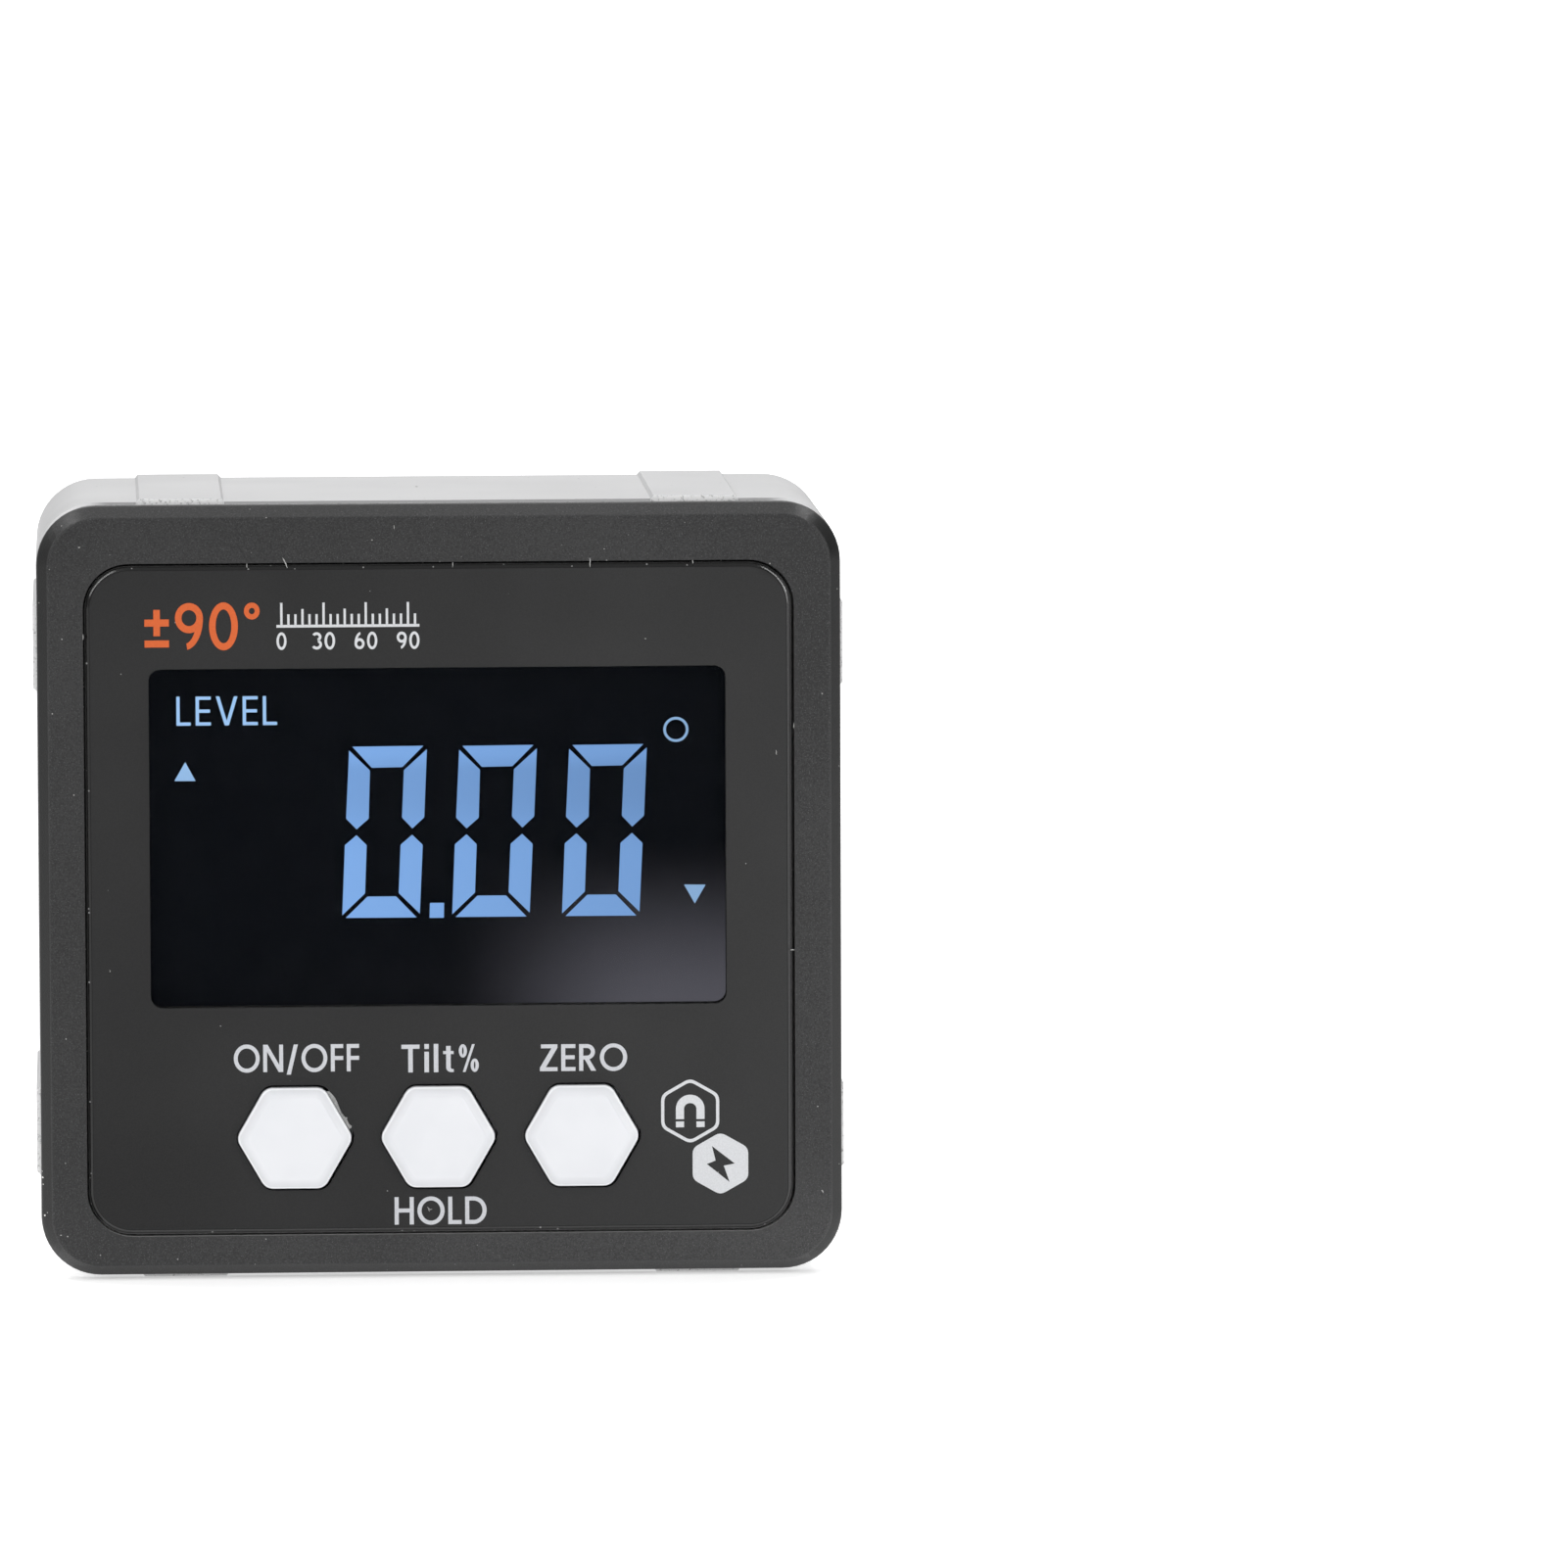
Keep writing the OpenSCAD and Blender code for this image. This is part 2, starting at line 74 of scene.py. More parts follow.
# ---------------------------------------------------------------- node helpers
class Graph:
    """Small helper that adds nodes to a material and links them."""

    def __init__(self, name):
        self.mat = bpy.data.materials.new(name)
        self.mat.use_nodes = True
        self.nt = self.mat.node_tree
        self.nt.nodes.clear()
        self.out = self.add("ShaderNodeOutputMaterial")
        self.bsdf = self.add("ShaderNodeBsdfPrincipled")
        self.nt.links.new(self.bsdf.outputs[0], self.out.inputs[0])
        tc = self.add("ShaderNodeTexCoord")
        sc = self.add("ShaderNodeVectorMath", operation="SCALE")
        self.nt.links.new(tc.outputs["Object"], sc.inputs[0])
        sc.inputs["Scale"].default_value = 1000.0
        self.mm = sc.outputs[0]

    def add(self, kind, **props):
        n = self.nt.nodes.new(kind)
        for k, v in props.items():
            setattr(n, k, v)
        return n

    def put(self, socket, value):
        if isinstance(value, bpy.types.NodeSocket):
            self.nt.links.new(value, socket)
        else:
            socket.default_value = value

    def set(self, **kw):
        for k, v in kw.items():
            self.put(self.bsdf.inputs[k.replace("_", " ")], v)

    def noise(self, scale, detail=2.0, rough=0.5, vec=None, stretch=None, distortion=0.0):
        n = self.add("ShaderNodeTexNoise")
        v = vec or self.mm
        if stretch:
            s = self.add("ShaderNodeVectorMath", operation="MULTIPLY")
            self.put(s.inputs[0], v)
            s.inputs[1].default_value = stretch
            v = s.outputs[0]
        self.put(n.inputs["Vector"], v)
        n.inputs["Scale"].default_value = scale
        n.inputs["Detail"].default_value = detail
        n.inputs["Roughness"].default_value = rough
        n.inputs["Distortion"].default_value = distortion
        return n.outputs[0]

    def math(self, op, a, b=0.0, c=0.0, clamp=False):
        n = self.add("ShaderNodeMath", operation=op, use_clamp=clamp)
        for i, v in enumerate((a, b, c)):
            self.put(n.inputs[i], v)
        return n.outputs[0]

    def ramp(self, value, lo, hi, out_lo=0.0, out_hi=1.0, smooth=True):
        n = self.add("ShaderNodeMapRange", interpolation_type="SMOOTHSTEP" if smooth else "LINEAR", clamp=True)
        for i, v in enumerate((value, lo, hi, out_lo, out_hi)):
            self.put(n.inputs[i], v)
        return n.outputs[0]

    def mix(self, fac, a, b):
        n = self.add("ShaderNodeMix", data_type="RGBA", clamp_factor=True)
        self.put(n.inputs[0], fac)
        self.put(n.inputs[6], a if isinstance(a, bpy.types.NodeSocket) else (*a, 1.0))
        self.put(n.inputs[7], b if isinstance(b, bpy.types.NodeSocket) else (*b, 1.0))
        return n.outputs[2]

    def xyz(self, vec=None):
        n = self.add("ShaderNodeSeparateXYZ")
        self.put(n.inputs[0], vec or self.mm)
        return n.outputs

    def specks(self, scale, radius, keep, stretch=(1.0, 1.0, 1.0)):
        """1 inside sparse small dots, 0 elsewhere."""
        v = self.add("ShaderNodeTexVoronoi", feature="F1", voronoi_dimensions="3D")
        s = self.add("ShaderNodeVectorMath", operation="MULTIPLY")
        self.put(s.inputs[0], self.mm)
        s.inputs[1].default_value = stretch
        self.put(v.inputs["Vector"], s.outputs[0])
        v.inputs["Scale"].default_value = scale
        near = self.ramp(v.outputs["Distance"], radius * 0.55, radius, 1.0, 0.0)
        pick = self.add("ShaderNodeSeparateColor")
        self.put(pick.inputs[0], v.outputs["Color"])
        return self.math("MULTIPLY", near, self.math("LESS_THAN", pick.outputs[0], keep))

    def bump(self, height, strength, distance_mm, normal=None):
        b = self.add("ShaderNodeBump")
        b.inputs["Strength"].default_value = strength
        b.inputs["Distance"].default_value = distance_mm * MM
        self.put(b.inputs["Height"], height)
        if normal is not None:
            self.put(b.inputs["Normal"], normal)
        return b.outputs[0]


def moulded(name, dark, light, rough, grain=7.0, bump=0.35, dust=0.0, speck=0.35):
    """Textured moulded plastic: fine grain, speckle, slow tone variation and a little dust."""
    g = Graph(name)
    fine = g.noise(grain, 4.0, 0.62)
    slow = g.noise(0.07, 2.0, 0.5)
    tone = g.math("ADD", g.math("MULTIPLY", fine, 0.55), g.math("MULTIPLY", slow, 0.45))
    col = g.mix(g.ramp(tone, 0.36, 0.64), dark, light)
    dots = g.ramp(g.noise(grain * 1.9, 1.0, 0.5), 0.66, 0.76)
    col = g.mix(g.math("MULTIPLY", dots, speck), col, tuple(min(1.0, c * 2.1) for c in light))
    if dust:
        col = g.mix(g.math("MULTIPLY", g.specks(1.25, 0.07, dust), 0.7), col, (0.40, 0.40, 0.39))
    g.set(Base_Color=col, Roughness=g.ramp(fine, 0.3, 0.7, rough - 0.06, rough + 0.08))
    g.set(Normal=g.bump(fine, bump, 0.03))
    return g


# ---------------------------------------------------------------- materials
def bezel_material():
    """Spark-textured dark plastic: speckle, fine pits, dust specks and lint in the panel's groove, with painted light
    and shade: brighter to the lower right, darker side and bottom chamfers, a paler groove and lower groove wall, and a
    paler recess rim.
    """
    g = Graph("bezel_plastic_look")
    x, y, z = g.xyz()
    fine = g.noise(8.0, 3.0, 0.6)
    slow = g.noise(0.06, 2.0, 0.5)
    tone = g.math("ADD", g.math("MULTIPLY", fine, 0.7), g.math("MULTIPLY", slow, 0.3))
    col = g.mix(g.ramp(tone, 0.38, 0.62), (0.0200, 0.0200, 0.0203), (0.0318, 0.0318, 0.0322))
    light = g.ramp(g.noise(10.5, 1.0, 0.5), 0.60, 0.72)
    col = g.mix(g.math("MULTIPLY", light, 0.35), col, (0.11, 0.11, 0.112))
    # painted light: the colour is scaled up overall, and more towards the right and the bottom, standing in for light
    # from the lower right
    painted_light_across = g.ramp(x, -28.0, 28.0, smooth=False)
    low = g.math("MULTIPLY", g.ramp(z, 9.0, 2.0), g.math("MULTIPLY_ADD", painted_light_across, 0.26, 0.20))
    # painted shade: the side chamfers, found by their normals, are painted darker
    geo = g.add("ShaderNodeNewGeometry")
    nrm = g.add("ShaderNodeVectorTransform", vector_type="NORMAL", convert_from="WORLD", convert_to="OBJECT")
    g.put(nrm.inputs[0], geo.outputs["True Normal"])
    nx = g.xyz(nrm.outputs[0])[0]
    turned = g.math("MULTIPLY", g.ramp(nx, 0.30, 0.58), g.math("GREATER_THAN", x, 25.9))
    turned_left = g.math("MULTIPLY", g.ramp(nx, -0.50, -0.78, 0.0, 0.95), g.math("LESS_THAN", x, -25.9))
    sides = g.math("MAXIMUM", turned, turned_left)
    painted_shade_flank = g.math("MULTIPLY", sides, g.ramp(y, FACE_Y + 0.08, FACE_Y + 0.2))
    painted_light_gain = g.math("ADD", g.math("MULTIPLY_ADD", painted_light_across, 0.17, 1.20), low)
    painted_light_gain = g.math("MULTIPLY", painted_light_gain, g.ramp(painted_shade_flank, 0.0, 1.0, 1.0, 0.22))
    # painted shade: the underside of the lower edge, behind the front face, is painted darker
    painted_shade_under = g.math("MULTIPLY", g.ramp(z, 1.2, 0.9), g.ramp(y, FACE_Y + 0.04, FACE_Y + 0.15))
    painted_light_gain = g.math("MULTIPLY", painted_light_gain, g.ramp(painted_shade_under, 0.0, 1.0, 1.0, 0.74))
    shade = g.add("ShaderNodeVectorMath", operation="SCALE")
    g.put(shade.inputs[0], col)
    g.put(shade.inputs["Scale"], painted_light_gain)
    col = shade.outputs[0]
    dust = g.math("MAXIMUM", g.specks(1.25, 0.075, 0.16), g.specks(0.8, 0.05, 0.22))
    # inside the recess the dust lies thicker
    deep = g.ramp(y, FACE_Y + 0.25, FACE_Y + 0.6)
    mid = g.math("MULTIPLY", g.math("LESS_THAN", g.math("ABSOLUTE", x), 25.9), g.math("LESS_THAN", g.math("ABSOLUTE", g.math("SUBTRACT", z, 27.30 + ZB)), 24.7))
    groove = g.math("MULTIPLY", deep, mid)
    lint = g.math("MULTIPLY", groove, g.specks(2.6, 0.26, 0.30))
    # painted highlight: a thin, broken band along the recess's rim, just behind the front face, is painted paler
    painted_rim_highlight = g.math("MULTIPLY", g.math("MULTIPLY", mid, g.ramp(y, FACE_Y + 0.015, FACE_Y + 0.03)), g.ramp(y, FACE_Y + 0.10, FACE_Y + 0.22, 1.0, 0.0))
    painted_rim_highlight = g.math("MULTIPLY", painted_rim_highlight, g.ramp(g.noise(2.2, 3.0, 0.7), 0.35, 0.62, 0.25, 1.0))
    # painted light: the groove's walls are painted pale near the bottom, palest on the lower wall, which faces up into
    # the light
    sill = g.ramp(z, 6.0, 3.4)
    painted_lit_wall = g.math("MULTIPLY", mid, g.math("MULTIPLY", sill, g.ramp(y, FACE_Y + 0.08, FACE_Y + 0.25)))
    # painted light: the groove's surfaces are painted paler, much paler along its right side, standing in for light
    # reaching into the groove
    col = g.mix(groove, col, g.mix(g.ramp(x, 24.4, 25.4), (0.046, 0.046, 0.0462), (0.11, 0.11, 0.11)))
    col = g.mix(painted_lit_wall, col, (0.55, 0.55, 0.55))
    col = g.mix(painted_rim_highlight, col, (0.20, 0.20, 0.20))
    col = g.mix(g.math("MULTIPLY", dust, 0.8), col, (0.42, 0.42, 0.41))
    col = g.mix(g.math("MULTIPLY", lint, 0.9), col, (0.40, 0.40, 0.39))
    # pale nicks at the lower left corner
    flat = g.add("ShaderNodeCombineXYZ")
    g.put(flat.inputs[0], x)
    g.put(flat.inputs[2], z)
    near = None
    for cx, cz, r in ((-28.72, 4.67, 0.075), (-28.36, 2.28, 0.085), (-28.20, 2.06, 0.06), (-28.86, 7.42, 0.07), (-28.82, 6.93, 0.05), (-28.88, 7.86, 0.05)):
        away = g.add("ShaderNodeVectorMath", operation="DISTANCE")
        g.put(away.inputs[0], flat.outputs[0])
        away.inputs[1].default_value = (cx, 0.0, cz)
        gap = g.math("SUBTRACT", away.outputs["Value"], r)
        near = gap if near is None else g.math("MINIMUM", near, gap)
    near = g.math("MULTIPLY_ADD", fine, 0.1, g.math("SUBTRACT", near, 0.05))
    col = g.mix(g.ramp(near, -0.02, 0.0, 1.0, 0.0), col, (0.62, 0.62, 0.61))
    g.set(Base_Color=col, Roughness=g.ramp(fine, 0.3, 0.7, 0.32, 0.44), Specular_IOR_Level=0.24)
    g.set(Normal=g.bump(fine, 0.40, 0.03))
    return g


bezel = bezel_material()
rear = moulded("rear_plastic_look", (0.0170, 0.0170, 0.0173), (0.0320, 0.0320, 0.0324), 0.44, grain=5.5, bump=0.45, dust=0.16)
rear.set(Specular_IOR_Level=0.32)


def panel_material():
    g = Graph("panel_look")
    x, y, z = g.xyz()

    def inside_of(cx, cz, hw, hh, r, soft, grow=0.0):
        """1 inside a rounded rectangle in front view, 0 outside."""
        qx = g.math("SUBTRACT", g.math("ABSOLUTE", g.math("SUBTRACT", x, cx)), hw - r)
        qz = g.math("SUBTRACT", g.math("ABSOLUTE", g.math("SUBTRACT", z, cz)), hh - r)
        ox, oz = g.math("MAXIMUM", qx, 0.0), g.math("MAXIMUM", qz, 0.0)
        out = g.math("SQRT", g.math("ADD", g.math("MULTIPLY", ox, ox), g.math("MULTIPLY", oz, oz)))
        d = g.math("SUBTRACT", g.math("ADD", out, g.math("MINIMUM", g.math("MAXIMUM", qx, qz), 0.0)), r)
        return g.ramp(d, grow - soft, grow + soft, 1.0, 0.0)

    window = inside_of(-0.13, 31.775 + ZB, 41.62 / 2, 24.55 / 2, 0.85, 0.02)
    rim = g.math("SUBTRACT", 1.0, inside_of(-0.04, 27.30 + ZB, 50.96 / 2, 48.5 / 2, 3.15, 0.02, -0.32))
    # painted shade: a thin band just inside the polished edge is printed darker
    painted_shade_margin = g.math("SUBTRACT", 1.0, inside_of(-0.04, 27.30 + ZB, 50.96 / 2, 48.5 / 2, 3.15, 0.02, -0.37))
    # dark print: a slow random tone, a fine tooth and a few dust specks; painted light and shade on the print: lighter
    # towards the right, darker towards the bottom, and darker at the top as a painted dark reflection
    slow = g.noise(0.06, 2.0, 0.5)
    tooth = g.noise(11.0, 2.0, 0.6)
    painted_light_drift = g.ramp(x, -27.0, 27.0, -0.0030, 0.0085, smooth=False)
    painted_shade_fall = g.ramp(z, 4.0, 24.0, -0.0034, 0.0)
    high = g.ramp(z, 44.0, 53.0, 0.0, -0.003)
    base = g.mix(g.ramp(slow, 0.35, 0.65), (0.0272, 0.0272, 0.0275), (0.0311, 0.0311, 0.0314))
    tone = g.math("ADD", g.math("ADD", painted_light_drift, g.math("ADD", painted_shade_fall, high)), g.ramp(tooth, 0.35, 0.65, -0.0016, 0.0016))
    add = g.add("ShaderNodeVectorMath", operation="ADD")
    g.put(add.inputs[0], base)
    comb = g.add("ShaderNodeCombineXYZ")
    for i in range(3):
        g.put(comb.inputs[i], tone)
    g.put(add.inputs[1], comb.outputs[0])
    dust = g.math("MULTIPLY", g.specks(1.0, 0.05, 0.10), 0.7)
    g.set(Base_Color=g.mix(dust, g.mix(painted_shade_margin, add.outputs[0], (0.013, 0.013, 0.013)), (0.45, 0.45, 0.45)))
    g.set(Roughness=g.ramp(g.noise(0.5, 2.0, 0.6), 0.3, 0.7, 0.05, 0.11))
    g.set(Specular_IOR_Level=0.10, IOR=1.49)
    clear = g.add("ShaderNodeBsdfPrincipled")
    clear.inputs["Base Color"].default_value = (0.86, 0.87, 0.90, 1.0)
    clear.inputs["Transmission Weight"].default_value = 1.0
    clear.inputs["IOR"].default_value = 1.08
    g.put(clear.inputs["Roughness"], g.ramp(g.noise(0.5, 2.0, 0.6), 0.3, 0.7, 0.0, 0.03))
    # the polished cut edge mirrors its surroundings more strongly than the printed face
    cut = g.add("ShaderNodeBsdfPrincipled")
    # painted light on the cut edge: lighter on the left and top sides of its face, and much paler on its steep outer
    # part, most on the right and bottom; the specks on it are dust
    lee = g.math("MAXIMUM", g.ramp(x, -24.2, -24.8), g.ramp(z, 50.4, 51.0))
    plain = g.mix(lee, g.mix(tooth, (0.012, 0.012, 0.012), (0.044, 0.044, 0.0445)), g.mix(tooth, (0.0005, 0.0005, 0.0005), (0.004, 0.004, 0.004)))
    steep = g.ramp(y, FACE_Y + 0.20, FACE_Y + 0.30)
    plain = g.mix(steep, plain, g.mix(lee, (0.17, 0.17, 0.1705), (0.095, 0.095, 0.0955)))
    g.put(cut.inputs["Base Color"], g.mix(g.math("MAXIMUM", g.specks(2.4, 0.22, 0.16), g.specks(1.1, 0.09, 0.20)), plain, (0.26, 0.26, 0.26)))
    g.put(cut.inputs["Roughness"], g.ramp(tooth, 0.3, 0.7, 0.10, 0.18))
    cut.inputs["Specular IOR Level"].default_value = 0.50
    first = g.add("ShaderNodeMixShader")
    g.put(first.inputs[0], window)
    g.nt.links.new(g.bsdf.outputs[0], first.inputs[1])
    g.nt.links.new(clear.outputs[0], first.inputs[2])
    second = g.add("ShaderNodeMixShader")
    g.put(second.inputs[0], rim)
    g.nt.links.new(first.outputs[0], second.inputs[1])
    g.nt.links.new(cut.outputs[0], second.inputs[2])
    g.nt.links.new(second.outputs[0], g.out.inputs[0])
    return g


panel = panel_material()


def key_material():
    """Milky glossy plastic with faint handling marks and a soft mottling."""
    g = Graph("key_look")
    fine = g.noise(3.0, 3.0, 0.5)
    slow = g.noise(0.25, 2.0, 0.5)
    col = g.mix(g.ramp(slow, 0.3, 0.7), (0.738, 0.749, 0.777), (0.767, 0.776, 0.803))
    marks = g.math("MULTIPLY", g.ramp(g.noise(1.3, 5.0, 0.7), 0.63, 0.74), 0.05)
    col = g.mix(marks, col, (0.55, 0.55, 0.56))
    # painted shade and highlight: the bevel and the sides are painted greyer as painted shade, and a thin band at the
    # rim paler as a painted highlight
    y = g.xyz()[1]
    col = g.mix(g.ramp(y, FACE_Y - 0.585, FACE_Y - 0.40), col, (0.690, 0.700, 0.725))
    edge = g.math("MULTIPLY", g.ramp(y, FACE_Y - 0.385, FACE_Y - 0.35), g.ramp(y, FACE_Y - 0.22, FACE_Y - 0.28))
    col = g.mix(edge, col, (0.90, 0.91, 0.93))
    g.set(Base_Color=col, Roughness=g.ramp(fine, 0.3, 0.7, 0.16, 0.24), Specular_IOR_Level=0.5)
    g.set(Normal=g.bump(fine, 0.03, 0.02))
    return g


keys = key_material()


def frame_material():
    """Blasted and anodised aluminium with small dents; the sawn ends of the pads are rougher and a little darker."""
    g = Graph("frame_look")
    fine = g.noise(9.0, 3.0, 0.65)
    lines = g.noise(3.0, 2.0, 0.6, stretch=(1.0, 0.05, 1.0))
    slow = g.noise(0.08, 2.0, 0.5)
    tone = g.math("ADD", g.math("MULTIPLY", fine, 0.5), g.math("MULTIPLY", slow, 0.5))
    col = g.mix(g.ramp(tone, 0.35, 0.65), (0.599, 0.599, 0.604), (0.651, 0.651, 0.656))
    geo = g.add("ShaderNodeNewGeometry")
    nrm = g.add("ShaderNodeVectorTransform", vector_type="NORMAL", convert_from="WORLD", convert_to="OBJECT")
    g.put(nrm.inputs[0], geo.outputs["True Normal"])
    facing = g.math("ABSOLUTE", g.xyz(nrm.outputs[0])[1])
    end = g.ramp(facing, 0.75, 0.95)
    torn = g.ramp(g.noise(4.0, 4.0, 0.7), 0.30, 0.50)
    col = g.mix(end, col, g.mix(torn, (0.47, 0.47, 0.47), (0.96, 0.96, 0.96)))
    # painted shade: the small chamfer is painted darker along the straight sides
    x, y, z = g.xyz()
    along = g.math("MULTIPLY", g.ramp(g.math("ABSOLUTE", x), 25.4, 23.6), g.math("SUBTRACT", g.ramp(facing, 0.4, 0.6), end))
    col = g.mix(along, col, (0.31, 0.31, 0.313))
    dents = g.math("MAXIMUM", g.specks(1.1, 0.12, 0.10), g.specks(0.7, 0.09, 0.20, (1.0, 0.14, 1.0)))
    col = g.mix(g.math("MULTIPLY", dents, 0.6), col, (0.26, 0.26, 0.26))
    g.set(Base_Color=col, Metallic=0.45, Specular_IOR_Level=0.4)
    g.set(Roughness=g.ramp(fine, 0.3, 0.7, 0.42, 0.56))
    rough_end = g.math("MULTIPLY", g.math("MULTIPLY", torn, end), 2.0)
    h = g.math("ADD", g.math("ADD", fine, g.math("MULTIPLY", lines, 0.4)), g.math("SUBTRACT", rough_end, g.math("MULTIPLY", dents, 2.0)))
    g.set(Normal=g.bump(h, 0.22, 0.03))
    return g


alu = frame_material()


def metal(name, colour, rough, grain=6.0, stretch=None):
    g = Graph(name)
    n = g.noise(grain, 3.0, 0.6, stretch=stretch)
    g.set(Base_Color=g.mix(g.ramp(n, 0.3, 0.7), tuple(c * 0.86 for c in colour), colour), Metallic=1.0)
    g.set(Roughness=g.ramp(n, 0.3, 0.7, rough - 0.06, rough + 0.08), Normal=g.bump(n, 0.12, 0.02))
    return g


def rubber(name, colour):
    g = Graph(name)
    n = g.noise(8.0, 4.0, 0.65)
    g.set(Base_Color=g.mix(g.ramp(n, 0.3, 0.7), tuple(c * 0.75 for c in colour), tuple(c * 1.2 for c in colour)))
    g.set(Roughness=g.ramp(n, 0.3, 0.7, 0.62, 0.8), Specular_IOR_Level=0.3, Normal=g.bump(n, 0.3, 0.03))
    return g


def print_ink(name, colour, wear=0.12):
    """Screen-printed ink: slight mottling and a soft tooth."""
    g = Graph(name)
    n = g.noise(7.0, 4.0, 0.7)
    g.set(Base_Color=g.mix(g.ramp(n, 0.35, 0.7), tuple(c * (1.0 - wear) for c in colour), colour))
    g.set(Roughness=g.ramp(n, 0.3, 0.7, 0.32, 0.48), Specular_IOR_Level=0.2, Normal=g.bump(n, 0.08, 0.01))
    return g


def lit(name, low, high, strength):
    """Lit display segment: a soft up-and-down tone change and fine mottling."""
    g = Graph(name)
    x, y, z = g.xyz()
    n = g.noise(2.2, 3.0, 0.6)
    f = g.math("ADD", g.ramp(z, 25.0, 43.0, 0.15, 0.75), g.ramp(n, 0.3, 0.7, -0.15, 0.15))
    dip = g.math("MULTIPLY", g.ramp(z, 30.0, 35.0, 0.0, 0.13), g.ramp(z, 37.9, 36.3))
    tone = g.math("SUBTRACT", g.ramp(x, -16.0, 17.0, 1.0, 0.74, smooth=False), dip)
    even = g.add("ShaderNodeVectorMath", operation="SCALE")
    g.put(even.inputs[0], g.mix(f, low, high))
    g.put(even.inputs["Scale"], tone)
    col = even.outputs[0]
    g.set(Base_Color=(0.0, 0.0, 0.0, 1.0), Roughness=0.5, Specular_IOR_Level=0.0)
    g.set(Emission_Color=col, Emission_Strength=strength)
    return g


def board(name):
    g = Graph(name)
    n = g.noise(1.2, 5.0, 0.6)
    tracks = g.ramp(g.noise(0.6, 0.0, 0.5, stretch=(1.0, 1.0, 0.15)), 0.49, 0.51)
    g.set(Base_Color=g.mix(g.math("MULTIPLY", tracks, 0.5), (0.006, 0.045, 0.018), (0.012, 0.09, 0.035)))
    g.set(Roughness=g.ramp(n, 0.3, 0.7, 0.3, 0.45), Normal=g.bump(tracks, 0.1, 0.02))
    return g


steel = metal("plated_steel_look", (0.62, 0.62, 0.63), 0.3)
dark_steel = metal("screw_steel_look", (0.30, 0.30, 0.31), 0.34)
nickel = metal("magnet_look", (0.62, 0.61, 0.585), 0.24, stretch=(1.0, 6.0, 1.0))
gold = metal("gold_pins_look", (0.75, 0.56, 0.22), 0.28)
seal = rubber("seal_rubber_look", (0.020, 0.020, 0.020))
plug = rubber("plug_rubber_look", (0.022, 0.022, 0.0225))
black = moulded("black_plastic_look", (0.012, 0.012, 0.012), (0.02, 0.02, 0.02), 0.45, grain=4.0, bump=0.15)
white = moulded("white_plastic_look", (0.66, 0.65, 0.60), (0.74, 0.73, 0.68), 0.4, grain=4.0, bump=0.1, speck=0.0)
guide = moulded("light_guide_look", (0.72, 0.75, 0.80), (0.80, 0.83, 0.88), 0.3, grain=3.0, bump=0.05, speck=0.0)
foil = metal("cell_pouch_look", (0.62, 0.63, 0.66), 0.3, grain=1.5)
foam = rubber("foam_tape_look", (0.6, 0.6, 0.56))
red = rubber("red_insulation_look", (0.42, 0.015, 0.015))
blackwire = rubber("black_insulation_look", (0.015, 0.015, 0.015))
ceramic = moulded("capacitor_look", (0.28, 0.20, 0.11), (0.36, 0.26, 0.15), 0.4, grain=4.0, bump=0.1, speck=0.0)
pcb = board("circuit_board_look")


def display_material():
    """Dark display glass with a soft leak of the backlight in the lower right corner."""
    g = Graph("display_glass_look")
    x, y, z = g.xyz()
    n = g.noise(0.4, 2.0, 0.6)
    g.set(Base_Color=g.mix(g.ramp(n, 0.3, 0.7), (0.0012, 0.0014, 0.0022), (0.0022, 0.0025, 0.0036)))
    g.set(Roughness=g.ramp(n, 0.3, 0.7, 0.12, 0.22), Specular_IOR_Level=0.01)
    leak = g.math("MULTIPLY", g.ramp(x, 0.0, 16.5), g.ramp(z, 31.5, 18.0))
    edge = g.math("MULTIPLY", g.ramp(z, 26.0, 19.0, 0.0, 0.022), g.ramp(x, -24.0, 6.0))
    leak = g.math("ADD", g.math("ADD", leak, edge), g.ramp(n, 0.3, 0.7, -0.004, 0.004))
    g.set(Emission_Color=g.mix(leak, (0.0006, 0.0009, 0.0015), (0.093, 0.091, 0.105)), Emission_Strength=1.0)
    return g


display = display_material()
slot_look = {
    "bezel_plastic": bezel, "rear_plastic": rear, "panel_acrylic": panel, "key_plastic": keys,
    "frame_aluminium": alu, "plated_steel": steel, "spring_steel": steel, "screw_steel": dark_steel,
    "magnet_nickel": nickel, "gold_pins": gold, "seal_rubber": seal, "plug_rubber": plug,
    "black_tape": black, "black_plastic": black, "chip_plastic": black, "white_plastic": white,
    "light_guide": guide, "led_plastic": white, "circuit_board": pcb, "capacitor_body": ceramic,
    "display_glass": display, "cell_pouch": foil, "foam_tape": foam, "red_insulation": red,
    "black_insulation": blackwire,
}


